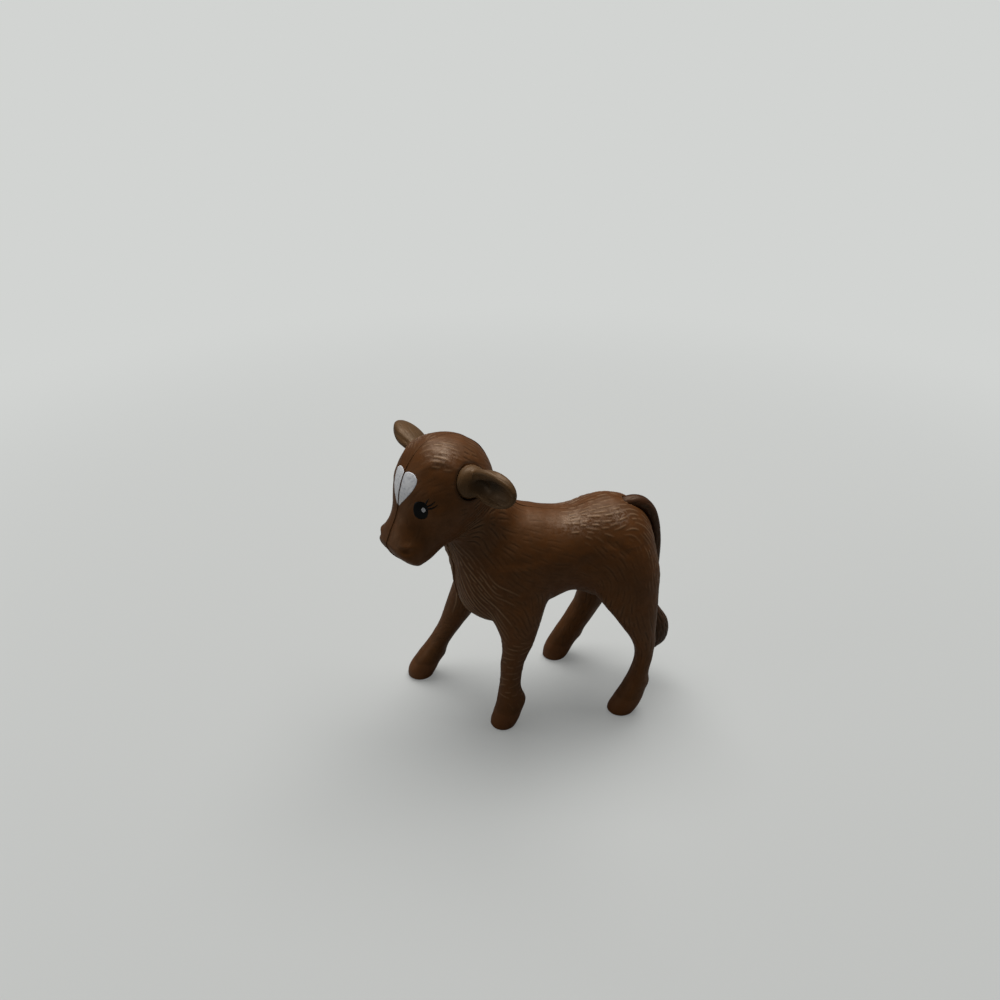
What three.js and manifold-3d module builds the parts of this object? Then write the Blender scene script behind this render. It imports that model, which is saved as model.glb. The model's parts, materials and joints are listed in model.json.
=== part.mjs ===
// A toy calf figure, about 76 mm tall, moulded in hard plastic as a left and a right half.
// The halves are hollow shells that meet down the middle of the face, the breast and the
// back. Each ear is a piece of its own that turns in a round socket in the head, and the
// tail is another, held by its root between the halves.
//
// Millimetres, +Z up. The calf looks along -X and stands on z = 0, with its left side
// towards -Y. Its head is turned to its left.

import * as THREE from 'three';
import { mergeVertices } from 'three/addons/utils/BufferGeometryUtils.js';
import Module from 'manifold-3d';

const wasm = await Module();
wasm.setup();

// Shell and fits
const WALL = 1.5; // thickness of the moulded shell
const SEAM_GAP = 0.3; // gap left between the two halves along the parting line
const FIT = 0.3; // clearance round what sits in a socket, hole or groove

// Head
const HEAD_TURN = 29; // degrees that the head turns to the calf's left
const NECK_X = -12; // where the head's middle plane crosses the body's
const BEND_LENGTH = 6; // distance before and after that point over which the parting line bends
const SKULL_CENTRE = new THREE.Vector3(-9.2, 0, 64.8); // in the head's frame
const SKULL_FRONT = 9.3; // from the centre to the forehead
const SKULL_BACK = 12;
const SKULL_HALF_WIDTH = 9.3;
const SKULL_HALF_HEIGHT = 11.3;

// Ears
const EAR_DISC_RADIUS = 3.4; // round base of the ear
const EAR_DISC_RISE = 1.7; // height of its domed face over the skull
const EAR_SEAT_DEPTH = 1.4; // depth of the round socket
const EAR_STEM_RADIUS = 1.2; // stem behind the disc
const EAR_HEAD_RADIUS = 1.9; // snap head that keeps the stem in its hole
const EAR_HEAD_LENGTH = 0.9;
const EAR_HEAD_TAPER = 0.4; // how much narrower the snap head is at its end, to lead it in
const EAR_COLLAR_DEPTH = 3.2; // thickened wall behind the socket
const EAR_COLLAR_WALL = 1.2;
const EAR_BEHIND = 2.4; // place of the socket's line behind and above the skull's centre
const EAR_ABOVE = 3.7;
const EAR_RISE = 2; // degrees that a socket faces upwards
const EAR_LEAN = 15; // degrees between the stem and the ear's blade
const EAR_LENGTH = 10.7; // from the disc's centre to the tip
const EAR_WIDTH = 7.8;
const EAR_THICKNESS = 3.8;
const EAR_CUP_WALL = 0.9; // plastic left behind and round the hollow of the ear
const LEFT_EAR_TURN = -4; // degrees about the stem, as the two ears are set in the figure
const RIGHT_EAR_TURN = -62;

// Tail
const TAIL_FLANGE_RADIUS = 2.6; // collar on the tail's root, trapped inside the shell
const TAIL_FLANGE_LENGTH = 1.2;

// Locating pins between the halves
const PIN_RADIUS = 1.1;
const PIN_LENGTH = 2.6;
const PIN_ROOT = 1; // length of the pin that is sunk in its boss
const BOSS_RADIUS = 2.5;
const BOSSES = [
  { x: -5, z: 45 },
  { x: 22, z: 46 },
];

// Facets
const WELD_GRID = 0.002;
const BODY_SIDES = 22;
const CAVITY_SIDES = 16;
const LEG_SIDES = 14;
const SMALL_SIDES = 16;
const DOME_STEPS = 4;
const BEND_STEPS = 6;

// Trunk from the breast to the buttocks: place along X, height of the middle, half height, half width
const TRUNK = [
  [-16.8, 39.2, 3.5, 3.0],
  [-14.5, 39.2, 9.0, 7.0],
  [-10.0, 39.7, 13.0, 9.5],
  [-5.0, 41.2, 14.3, 10.6],
  [0.0, 42.6, 12.7, 10.4],
  [5.0, 43.2, 10.9, 10.0],
  [10.0, 43.4, 10.4, 9.7],
  [15.0, 43.2, 12.2, 10.3],
  [20.0, 42.4, 13.3, 10.8],
  [25.0, 40.8, 13.0, 10.2],
  [28.2, 39.4, 10.8, 8.2],
  [29.8, 38.0, 7.5, 5.6],
  [30.6, 37.0, 3.0, 2.4],
];

// Neck from inside the trunk into the skull: X, Y, Z of the middle, half depth, half width
const NECK = [
  [-4.0, 0.0, 40.2, 12.0, 8.6],
  [-7.0, 0.0, 45.2, 11.0, 8.6],
  [-9.8, 0.0, 50.2, 9.6, 8.2],
  [-12.0, -0.6, 54.8, 8.4, 7.8],
  [-14.2, -1.6, 58.6, 7.2, 7.4],
  [-16.4, -2.7, 62.2, 5.0, 6.0],
];

// Face in the head's frame, from inside the skull to the nose: X, Z, half depth, half width
const FACE = [
  [-6.4, 64.8, 10.0, 8.8],
  [-9.2, 62.0, 9.5, 8.5],
  [-12.3, 59.1, 8.2, 7.6],
  [-15.0, 56.6, 6.9, 6.6],
  [-17.2, 54.5, 5.8, 6.1],
  [-19.0, 53.0, 4.6, 5.4],
  [-20.2, 52.0, 2.5, 3.5],
];

// Legs from the top down to the sole: height, X, Y, half length, half width
const LEFT_FRONT_LEG = [
  [45.2, -3.0, -5.4, 7.0, 4.4],
  [38.2, -2.8, -7.2, 6.4, 4.4],
  [32.2, -3.1, -8.8, 5.2, 4.2],
  [26.2, -3.6, -9.8, 3.9, 3.5],
  [19.7, -4.6, -10.2, 2.8, 2.8],
  [13.2, -5.2, -10.3, 2.7, 2.7],
  [7.2, -5.5, -10.3, 3.3, 3.0],
  [3.6, -6.2, -10.3, 3.4, 3.1],
  [1.2, -6.9, -10.3, 3.3, 3.0],
  [0.0, -7.2, -10.3, 3.0, 2.8],
];
const RIGHT_FRONT_LEG = [
  [44.2, -6.0, 5.6, 6.6, 4.4],
  [36.2, -8.4, 7.6, 5.8, 4.4],
  [29.2, -11.2, 9.2, 4.9, 3.9],
  [22.2, -14.0, 10.0, 4.2, 3.3],
  [16.2, -17.0, 10.3, 3.1, 2.8],
  [11.2, -19.9, 10.4, 2.8, 2.7],
  [6.7, -22.6, 10.4, 3.4, 3.0],
  [2.9, -24.6, 10.4, 3.7, 3.1],
  [1.0, -25.3, 10.4, 3.5, 3.0],
  [0.0, -25.5, 10.4, 3.2, 2.8],
];
const LEFT_HIND_LEG = [
  [47.2, 19.8, -4.4, 5.6, 4.2],
  [41.2, 21.4, -6.8, 7.8, 4.6],
  [34.2, 22.6, -8.4, 7.1, 4.5],
  [28.2, 24.6, -9.6, 4.9, 4.0],
  [22.2, 26.4, -10.4, 2.8, 3.3],
  [17.2, 27.1, -10.8, 2.1, 2.8],
  [11.7, 26.4, -11.0, 2.2, 2.6],
  [7.2, 25.4, -11.1, 3.0, 2.8],
  [3.6, 24.1, -11.1, 3.6, 3.0],
  [1.2, 23.0, -11.1, 3.6, 3.0],
  [0.0, 22.6, -11.1, 3.3, 2.8],
];
const RIGHT_HIND_LEG = [
  [47.2, 18.8, 4.4, 5.6, 4.2],
  [40.2, 20.0, 7.0, 7.8, 4.6],
  [33.2, 20.6, 8.8, 6.8, 4.4],
  [26.2, 21.0, 10.0, 4.9, 3.8],
  [19.2, 20.0, 10.8, 4.0, 3.3],
  [13.2, 17.3, 11.0, 3.9, 3.0],
  [7.7, 14.2, 11.0, 3.8, 2.9],
  [3.6, 12.2, 11.0, 3.8, 2.9],
  [1.2, 11.4, 11.0, 3.5, 2.9],
  [0.0, 11.0, 11.0, 3.1, 2.7],
];

// Tail from its root inside the rump down to the tuft: X, Z, half depth, half width
const TAIL = [
  [19.6, 50.6, 1.3, 1.3],
  [21.4, 52.6, 1.3, 1.4],
  [23.6, 54.0, 1.4, 1.6],
  [26.4, 53.6, 1.5, 1.7],
  [28.8, 51.4, 1.4, 1.6],
  [30.3, 48.0, 1.3, 1.4],
  [31.3, 42.6, 1.3, 1.3],
  [31.6, 36.2, 1.3, 1.3],
  [31.5, 29.2, 1.3, 1.3],
  [31.8, 24.2, 1.4, 1.5],
  [33.0, 20.6, 2.2, 2.4],
  [34.4, 16.8, 3.0, 3.0],
  [34.8, 12.8, 2.7, 2.6],
  [34.2, 9.6, 1.4, 1.4],
];
const TAIL_ROOT = 1; // the row of TAIL at which the root passes through the wall

// Reach of the cutting solids, twice the figure's height, which is its longest size
const CUT_REACH = 2 * (SKULL_CENTRE.z + SKULL_HALF_HEIGHT);

const radians = THREE.MathUtils.degToRad;
const AXIS_X = new THREE.Vector3(1, 0, 0);
const AXIS_Y = new THREE.Vector3(0, 1, 0);
const AXIS_Z = new THREE.Vector3(0, 0, 1);

// Boolean joins and cuts

function solidOf(geometry) {
  const bare = geometry.clone();
  bare.deleteAttribute('normal');
  bare.deleteAttribute('uv');
  const merged = mergeVertices(bare, 1e-5);
  const mesh = new wasm.Mesh({
    numProp: 3,
    vertProperties: new Float32Array(merged.attributes.position.array),
    triVerts: new Uint32Array(merged.index.array),
  });
  return new wasm.Manifold(mesh);
}

function geometryOf(solid) {
  const { vertProperties, triVerts } = solid.getMesh();
  const geometry = new THREE.BufferGeometry();
  geometry.setAttribute('position', new THREE.BufferAttribute(vertProperties, 3));
  geometry.setIndex(new THREE.BufferAttribute(triVerts, 1));
  geometry.computeVertexNormals();
  return geometry;
}

// The geometry with its corners moved to a fine grid, which closes the slivers that a cut
// between nearly touching surfaces leaves. A face that has lost its area goes, and so do
// two faces that now lie back to back.
function weldedGeometry(solid) {
  const bare = geometryOf(solid);
  bare.deleteAttribute('normal');
  const positions = bare.attributes.position;
  const snapped = (value) => Math.round(value / WELD_GRID) * WELD_GRID;
  for (let i = 0; i < positions.count; i += 1) {
    positions.setXYZ(i, snapped(positions.getX(i)), snapped(positions.getY(i)), snapped(positions.getZ(i)));
  }
  const merged = mergeVertices(bare, WELD_GRID / 4);
  const faces = new Map();
  for (let i = 0; i < merged.index.count; i += 3) {
    const corners = [0, 1, 2].map((k) => merged.index.getX(i + k));
    if (new Set(corners).size === 3) {
      const key = [...corners].sort((a, b) => a - b).join(' ');
      if (!faces.delete(key)) {
        faces.set(key, corners);
      }
    }
  }
  merged.setIndex([...faces.values()].flat());
  merged.computeVertexNormals();
  return merged;
}

function joined(solids) {
  return solids.reduce((sum, solid) => sum.add(solid));
}

// Shapes

// One smooth step of a Catmull-Rom curve between b and c, at t from 0 to 1.
function smoothValue(a, b, c, d, t) {
  const cubic = -a + 3 * b - 3 * c + d;
  const square = 2 * a - 5 * b + 4 * c - d;
  return 0.5 * (2 * b + (c - a) * t + square * t * t + cubic * t * t * t);
}

// The rows of a table with smooth rows worked out between them.
function refined(table, steps) {
  const rows = [];
  for (let i = 0; i < table.length - 1; i += 1) {
    const before = table[Math.max(i - 1, 0)];
    const after = table[Math.min(i + 2, table.length - 1)];
    const next = table[i + 1];
    for (let s = 0; s < steps; s += 1) {
      rows.push(table[i].map((value, k) => smoothValue(before[k], value, next[k], after[k], s / steps)));
    }
  }
  rows.push(table[table.length - 1]);
  return rows;
}

// An oval ring round a centre, across two unit vectors.
function ovalRing(centre, first, second, halfFirst, halfSecond, sides) {
  const points = [];
  for (let i = 0; i < sides; i += 1) {
    const angle = (2 * Math.PI * i) / sides;
    points.push(
      centre
        .clone()
        .addScaledVector(first, halfFirst * Math.cos(angle))
        .addScaledVector(second, halfSecond * Math.sin(angle)),
    );
  }
  return points;
}

// A closed solid through rings of equal count, flat at both ends. Each ring turns
// anticlockwise about the direction in which the rings follow each other.
function loftSolid(rings) {
  const sides = rings[0].length;
  const positions = [];
  const index = [];
  rings.forEach((ring) => ring.forEach((point) => positions.push(point.x, point.y, point.z)));
  for (let r = 0; r < rings.length - 1; r += 1) {
    for (let i = 0; i < sides; i += 1) {
      const a = r * sides + i;
      const b = r * sides + ((i + 1) % sides);
      const c = b + sides;
      const d = a + sides;
      index.push(a, b, c, a, c, d);
    }
  }
  const last = (rings.length - 1) * sides;
  for (let i = 1; i < sides - 1; i += 1) {
    index.push(0, i + 1, i);
    index.push(last, last + i, last + i + 1);
  }
  const geometry = new THREE.BufferGeometry();
  geometry.setAttribute('position', new THREE.Float32BufferAttribute(positions, 3));
  geometry.setIndex(index);
  return solidOf(geometry);
}

// A round bar between two points.
function barSolid(start, end, radius) {
  const along = end.clone().sub(start);
  const geometry = new THREE.CylinderGeometry(radius, radius, along.length(), SMALL_SIDES);
  geometry.applyQuaternion(new THREE.Quaternion().setFromUnitVectors(AXIS_Y, along.clone().normalize()));
  const middle = start.clone().add(end).multiplyScalar(0.5);
  geometry.translate(middle.x, middle.y, middle.z);
  return solidOf(geometry);
}

// The rows of a table for the hollow inside it. The wall is taken off their last two columns,
// two half sizes, and rows nearer than the wall to either end of the table are left out.
function thinned(table, wall) {
  const middleOf = (row) => row.slice(0, -2);
  const gap = (a, b) => Math.hypot(...middleOf(a).map((value, k) => value - b[k]));
  const last = table[table.length - 1];
  return table
    .filter((row) => Math.min(gap(row, table[0]), gap(row, last)) >= wall)
    .map((row) => row.map((value, k) => (k < row.length - 2 ? value : value - wall)));
}

function trunkSolid(table, sides, steps) {
  const rings = refined(table, steps).map(([x, z, halfHeight, halfWidth]) =>
    ovalRing(new THREE.Vector3(x, 0, z), AXIS_Y, AXIS_Z, halfWidth, halfHeight, sides),
  );
  return loftSolid(rings);
}

// A limb whose rings stand square to its own line, which stays near an XZ plane.
// Rows: X, Y, Z, half depth, half width.
function bentSolid(table, sides, steps) {
  const rows = refined(table, steps);
  const middles = rows.map(([x, y, z]) => new THREE.Vector3(x, y, z));
  const rings = rows.map(([, , , halfDepth, halfWidth], i) => {
    const before = middles[Math.max(i - 1, 0)];
    const after = middles[Math.min(i + 1, rows.length - 1)];
    const along = after.clone().sub(before).normalize();
    const depth = new THREE.Vector3().crossVectors(AXIS_Y, along).normalize();
    const width = new THREE.Vector3().crossVectors(along, depth);
    return ovalRing(middles[i], depth, width, halfDepth, halfWidth, sides);
  });
  return loftSolid(rings);
}

function legSolid(table) {
  const rings = refined(table, 2).map(([z, x, y, halfLength, halfWidth]) =>
    ovalRing(new THREE.Vector3(x, y, z), AXIS_Y, AXIS_X, halfWidth, halfLength, LEG_SIDES),
  );
  return loftSolid(rings);
}

function placed(solid, matrix) {
  const geometry = geometryOf(solid);
  geometry.applyMatrix4(matrix);
  return solidOf(geometry);
}

// Head, placed by a frame that turns about the neck

const headPlace = new THREE.Matrix4()
  .makeTranslation(NECK_X, 0, 0)
  .multiply(new THREE.Matrix4().makeRotationZ(radians(HEAD_TURN)));

function faceTable(table) {
  return table.map(([x, z, halfDepth, halfWidth]) => [x, 0, z, halfDepth, halfWidth]);
}

// The skull is rounder in front than behind, so it has a radius for each end.
function skullSolid(wall, sides) {
  const geometry = new THREE.SphereGeometry(1, sides, sides / 2);
  const positions = geometry.attributes.position;
  for (let i = 0; i < positions.count; i += 1) {
    const x = positions.getX(i);
    const length = (x < 0 ? SKULL_FRONT : SKULL_BACK) - wall;
    positions.setXYZ(
      i,
      SKULL_CENTRE.x + x * length,
      positions.getY(i) * (SKULL_HALF_WIDTH - wall),
      SKULL_CENTRE.z + positions.getZ(i) * (SKULL_HALF_HEIGHT - wall),
    );
  }
  return solidOf(geometry);
}

function headSolid(wall, sides, steps) {
  const face = bentSolid(faceTable(thinned(FACE, wall)), sides, steps);
  return placed(skullSolid(wall, sides).add(face), headPlace);
}

// Ears

// A direction for each ear's stem, level with the skull's middle and raised a little.
function earAxis(side) {
  return new THREE.Vector3(0, side * Math.cos(radians(EAR_RISE)), Math.sin(radians(EAR_RISE)));
}

// The place on the skull where a line from near its centre leaves it.
function skullPoint(direction) {
  const radii = new THREE.Vector3(SKULL_BACK, SKULL_HALF_WIDTH, SKULL_HALF_HEIGHT);
  const start = new THREE.Vector3(EAR_BEHIND, 0, EAR_ABOVE);
  const from = start.clone().divide(radii);
  const along = direction.clone().divide(radii);
  const half = from.dot(along) / along.lengthSq();
  const reach = Math.sqrt(half * half + (1 - from.lengthSq()) / along.lengthSq()) - half;
  return SKULL_CENTRE.clone().add(start).addScaledVector(direction, reach);
}

// The ear's own frame: its stem along Z, its blade leaning towards X.
function earPlace(side, turn) {
  const stem = earAxis(side);
  const across = new THREE.Vector3().crossVectors(stem, AXIS_X);
  const frame = new THREE.Matrix4().makeBasis(AXIS_X, across, stem);
  frame.setPosition(skullPoint(stem));
  return headPlace
    .clone()
    .multiply(frame)
    .multiply(new THREE.Matrix4().makeRotationZ(radians(turn)));
}

// A solid turned about Z from a profile of points, each a radius and a height.
function turnedSolid(profile) {
  const geometry = new THREE.LatheGeometry(
    profile.map(([radius, height]) => new THREE.Vector2(radius, height)),
    SMALL_SIDES,
  );
  geometry.rotateX(Math.PI / 2);
  return solidOf(geometry);
}

const DISC_UNDERSIDE = -EAR_SEAT_DEPTH + FIT;
const STEM_END = -EAR_COLLAR_DEPTH - FIT - EAR_HEAD_LENGTH;

function earButtonSolid() {
  const dome = [];
  for (let i = 0; i < DOME_STEPS; i += 1) {
    const angle = (Math.PI / 2) * (i / DOME_STEPS);
    dome.push([EAR_DISC_RADIUS * Math.cos(angle), EAR_DISC_RISE * Math.sin(angle)]);
  }
  return turnedSolid([
    [0, STEM_END],
    [EAR_HEAD_RADIUS - EAR_HEAD_TAPER, STEM_END],
    [EAR_HEAD_RADIUS, STEM_END + EAR_HEAD_LENGTH],
    [EAR_STEM_RADIUS, STEM_END + EAR_HEAD_LENGTH],
    [EAR_STEM_RADIUS, DISC_UNDERSIDE],
    [EAR_DISC_RADIUS, DISC_UNDERSIDE],
    ...dome,
    [0, EAR_DISC_RISE],
  ]);
}

function eggSolid(halfThickness, halfWidth, halfLength, centreX, centreZ) {
  const geometry = new THREE.SphereGeometry(1, SMALL_SIDES, SMALL_SIDES / 2);
  geometry.scale(halfThickness, halfWidth, halfLength);
  geometry.translate(centreX, 0, centreZ);
  return solidOf(geometry);
}

// The blade is an egg with a smaller one taken out of its front, and leans off the stem.
function earSolid() {
  const halfLength = EAR_LENGTH / 2;
  const blade = eggSolid(EAR_THICKNESS / 2, EAR_WIDTH / 2, halfLength, 0, halfLength);
  const hollow = eggSolid(
    EAR_THICKNESS / 2,
    EAR_WIDTH / 2 - EAR_CUP_WALL,
    halfLength - 2 * EAR_CUP_WALL,
    -EAR_CUP_WALL,
    halfLength + EAR_CUP_WALL / 2,
  );
  const lean = new THREE.Matrix4().makeRotationY(radians(EAR_LEAN));
  return earButtonSolid().add(placed(blade, lean)).subtract(placed(hollow, lean));
}

function earCollarSolid() {
  const radius = EAR_DISC_RADIUS + FIT + EAR_COLLAR_WALL;
  return turnedSolid([
    [0, -EAR_COLLAR_DEPTH],
    [radius, -EAR_COLLAR_DEPTH],
    [radius, EAR_SEAT_DEPTH],
    [0, EAR_SEAT_DEPTH],
  ]);
}

function earSocketSolid() {
  const hole = EAR_STEM_RADIUS + FIT;
  const seat = EAR_DISC_RADIUS + FIT;
  const below = STEM_END - FIT;
  const above = EAR_SEAT_DEPTH;
  return turnedSolid([
    [0, below],
    [hole, below],
    [hole, -EAR_SEAT_DEPTH],
    [seat, -EAR_SEAT_DEPTH],
    [seat, above],
    [0, above],
  ]);
}

// Tail

function tailTable(extra) {
  return TAIL.map(([x, z, halfDepth, halfWidth]) => [x, 0, z, halfDepth + extra, halfWidth + extra]);
}

// The flange lies inside the shell, square to the root.
function tailFlangeSolid(extra) {
  const [x, z] = TAIL[0];
  const [nextX, nextZ] = TAIL[TAIL_ROOT];
  const start = new THREE.Vector3(x, 0, z);
  const along = new THREE.Vector3(nextX - x, 0, nextZ - z).normalize();
  const from = start.clone().addScaledVector(along, -TAIL_FLANGE_LENGTH - extra);
  const to = start.clone().addScaledVector(along, extra);
  return barSolid(from, to, TAIL_FLANGE_RADIUS + extra);
}

function tailSolid(extra) {
  return bentSolid(tailTable(extra), LEG_SIDES, 2).add(tailFlangeSolid(extra));
}

// Body halves

// The parting line in plan: along the body's middle, then a bend at the neck into the
// head's middle plane. Offset moves it to the calf's left where it is below zero.
function partingLine(offset) {
  const turn = radians(HEAD_TURN);
  const forward = new THREE.Vector2(-Math.cos(turn), -Math.sin(turn));
  const corner = new THREE.Vector2(NECK_X, 0);
  const bendEnd = corner.clone().addScaledVector(forward, BEND_LENGTH);
  const bend = new THREE.QuadraticBezierCurve(new THREE.Vector2(NECK_X + BEND_LENGTH, 0), corner, bendEnd);
  const line = [[new THREE.Vector2(NECK_X + CUT_REACH, 0), new THREE.Vector2(0, 1)]];
  for (let i = 0; i <= BEND_STEPS; i += 1) {
    const tangent = bend.getTangent(i / BEND_STEPS);
    line.push([bend.getPoint(i / BEND_STEPS), new THREE.Vector2(tangent.y, -tangent.x)]);
  }
  line.push([corner.clone().addScaledVector(forward, CUT_REACH), new THREE.Vector2(forward.y, -forward.x)]);
  return line.map(([point, side]) => point.clone().addScaledVector(side, offset));
}

// All the space on one side of the parting line.
function sideSolid(side) {
  const line = partingLine((side * SEAM_GAP) / 2);
  const first = line[0];
  const last = line[line.length - 1];
  const shape = new THREE.Shape([
    ...line,
    new THREE.Vector2(last.x, side * CUT_REACH),
    new THREE.Vector2(first.x, side * CUT_REACH),
  ]);
  const geometry = new THREE.ExtrudeGeometry(shape, { depth: 2 * CUT_REACH, bevelEnabled: false });
  geometry.translate(0, 0, -CUT_REACH);
  return solidOf(geometry);
}

// The bosses run into the side walls, and what would stand out of the trunk is cut off later.
function bossSolids() {
  const reach = Math.max(...TRUNK.map(([, , , halfWidth]) => halfWidth));
  return BOSSES.map(({ x, z }) =>
    barSolid(new THREE.Vector3(x, -reach, z), new THREE.Vector3(x, reach, z), BOSS_RADIUS),
  );
}

function pinSolids(extra) {
  const end = PIN_LENGTH + extra;
  return BOSSES.map(({ x, z }) =>
    barSolid(new THREE.Vector3(x, -PIN_ROOT, z), new THREE.Vector3(x, end, z), PIN_RADIUS + extra),
  );
}

const EARS = [
  { name: 'left_ear', side: -1, turn: LEFT_EAR_TURN },
  { name: 'right_ear', side: 1, turn: RIGHT_EAR_TURN },
];

function bodySolid() {
  const legs = [LEFT_FRONT_LEG, RIGHT_FRONT_LEG, LEFT_HIND_LEG, RIGHT_HIND_LEG].map(legSolid);
  const outside = joined([
    trunkSolid(TRUNK, BODY_SIDES, 2),
    bentSolid(NECK, BODY_SIDES, 2),
    headSolid(0, BODY_SIDES, 2),
    ...legs,
  ]);
  const cavity = joined([
    trunkSolid(thinned(TRUNK, WALL), CAVITY_SIDES, 1),
    bentSolid(thinned(NECK, WALL), CAVITY_SIDES, 1),
    headSolid(WALL, CAVITY_SIDES, 1),
  ]);
  const collars = EARS.map(({ side }) => placed(earCollarSolid(), earPlace(side, 0)));
  const sockets = EARS.map(({ side }) => placed(earSocketSolid(), earPlace(side, 0)));
  const inside = joined([...collars, ...bossSolids()]).intersect(outside);
  return outside
    .subtract(cavity)
    .add(inside)
    .subtract(joined([...sockets, tailSolid(FIT)]));
}

// Colours and the finished figure

const bodyPlastic = new THREE.MeshStandardMaterial({ color: 0x6b3f22, roughness: 0.45, metalness: 0 });
const earPlastic = new THREE.MeshStandardMaterial({ color: 0x6a4a34, roughness: 0.5, metalness: 0 });

function meshOf(name, solid, material) {
  const mesh = new THREE.Mesh(weldedGeometry(solid), material);
  mesh.name = name;
  return mesh;
}

const calf = new THREE.Group();
const body = bodySolid();
const leftHalf = body.intersect(sideSolid(-1)).add(joined(pinSolids(0)));
const rightHalf = body.intersect(sideSolid(1)).subtract(joined(pinSolids(FIT)));
calf.add(meshOf('left_body_half', leftHalf, bodyPlastic));
calf.add(meshOf('right_body_half', rightHalf, bodyPlastic));
calf.add(meshOf('tail', tailSolid(0), bodyPlastic));
EARS.forEach(({ name, side, turn }) => {
  const ear = meshOf(name, earSolid(), earPlastic);
  ear.applyMatrix4(earPlace(side, turn));
  calf.add(ear);
});

// The origin is the middle of the figure's outer box, on the ground under it.
const outerBox = new THREE.Box3().setFromObject(calf, true);
const middle = outerBox.getCenter(new THREE.Vector3());
calf.position.set(-middle.x, -middle.y, -outerBox.min.z);

export default calf;
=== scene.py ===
"""Dresses the toy calf figure: a satin brown calf in moulded plastic, with engraved hair,
separate ears and tail, and painted eyes and forehead mark.

The surfaces are sculpted in millimetres in the tables' own frame, in which the calf looks
along -X with its left side towards -Y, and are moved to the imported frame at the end.
"""

import json
import logging
import math
from dataclasses import dataclass, field, replace
from enum import Enum
from itertools import product

import bmesh
import bpy
import numpy as np
from bpy.types import Material, NodeSocket, NodeTree, Object
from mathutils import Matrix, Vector, bvhtree, kdtree, noise


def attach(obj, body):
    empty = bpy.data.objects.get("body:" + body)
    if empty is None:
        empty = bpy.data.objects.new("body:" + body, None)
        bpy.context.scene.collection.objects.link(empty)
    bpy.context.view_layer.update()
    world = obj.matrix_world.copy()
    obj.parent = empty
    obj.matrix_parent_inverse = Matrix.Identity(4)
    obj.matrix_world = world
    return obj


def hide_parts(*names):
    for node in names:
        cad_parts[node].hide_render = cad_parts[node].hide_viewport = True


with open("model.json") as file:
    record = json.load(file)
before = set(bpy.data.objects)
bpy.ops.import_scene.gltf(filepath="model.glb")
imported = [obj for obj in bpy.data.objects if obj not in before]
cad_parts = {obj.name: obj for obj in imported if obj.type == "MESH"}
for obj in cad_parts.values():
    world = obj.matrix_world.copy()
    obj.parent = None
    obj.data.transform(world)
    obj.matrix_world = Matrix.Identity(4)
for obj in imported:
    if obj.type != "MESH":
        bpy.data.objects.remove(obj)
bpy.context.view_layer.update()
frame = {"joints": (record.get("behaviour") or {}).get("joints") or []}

MM = 0.001
LEAST_LENGTH = 1e-12  # keeps a vector without a length from dividing by zero

PATTERN_STEP = Vector((17.3, 5.1, 9.7))  # moves the noise on to a fresh pattern for the next seed

log = logging.getLogger("calf")

Array = np.ndarray
Tones = dict[str, Array]
Faces = list[list[int]]
Edges = list[bmesh.types.BMEdge]
Table = tuple[tuple[float, ...], ...]
Triple = tuple[float, float, float]
Colour = tuple[float, float, float, float]


class Side(Enum):
    """The calf's own left and right, valued by the sign of Y."""

    LEFT = -1
    RIGHT = 1

    @property
    def word(self) -> str:
        """The side's name as it starts a piece's name."""
        return self.name.lower()


# Numbers and curves


def smooth_rows(rows: Table, steps: int) -> Array:
    """Fills a table with rows on one smooth curve through all of them.

    Args:
        rows: The rows to pass through.
        steps: How many pieces each stretch between two rows is cut into.

    Returns:
        The finer table, one row per step.
    """
    # Each stretch is a cubic that passes a row in the direction from the row before to the one after
    table = np.array(rows, float)
    padded = np.vstack([table[:1], table, table[-1:]])
    t = np.arange(steps)[:, None] / steps
    fine = []
    for i in range(len(table) - 1):
        a, b, c, d = padded[i : i + 4]
        cubic = -a + 3 * b - 3 * c + d
        square = 2 * a - 5 * b + 4 * c - d
        fine.append(0.5 * (2 * b + (c - a) * t + square * t**2 + cubic * t**3))
    return np.vstack(fine + [table[-1:]])


def unit(vectors: Array) -> Array:
    """Scales each vector to a length of one."""
    lengths = np.linalg.norm(vectors, axis=-1, keepdims=True)
    return vectors / np.maximum(lengths, LEAST_LENGTH)


def turned(axis: int, degrees: float) -> Array:
    """The rotation matrix of a turn about one axis.

    Args:
        axis: The number of the axis, 0 to 2.
        degrees: The angle, anticlockwise as seen from the axis' end.

    Returns:
        The matrix.
    """
    c, s = math.cos(math.radians(degrees)), math.sin(math.radians(degrees))
    first, second = (axis + 1) % 3, (axis + 2) % 3
    matrix = np.eye(3)
    matrix[first, first] = matrix[second, second] = c
    matrix[second, first], matrix[first, second] = s, -s
    return matrix


def smooth_step(values: Array, start: float, end: float) -> Array:
    """A share that goes smoothly from none at one value to all at the other."""
    share = np.clip((values - start) / (end - start), 0.0, 1.0)
    return share * share * (3 - 2 * share)


def across(point: tuple[float, ...], sign: int) -> tuple[float, ...]:
    """A point given on the right side, or its mirror image on the left for a sign of -1."""
    return (point[0], sign * point[1], *point[2:])


def grown(rows: Table, extra: float) -> Table:
    """A limb's rows with thicker sections."""
    return tuple((*row[:3], row[3] + extra, row[4] + extra) for row in rows)


def noise_at(points: Array, size: float, seed: int) -> Array:
    """Smooth noise between about -1 and 1.

    Args:
        points: Where it is wanted, in millimetres.
        size: The width of its lumps, in millimetres.
        seed: A whole number that picks the pattern.

    Returns:
        One value for each point.
    """
    offset = PATTERN_STEP * seed
    return np.array([noise.noise(Vector(point) + offset) for point in points / size])


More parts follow.
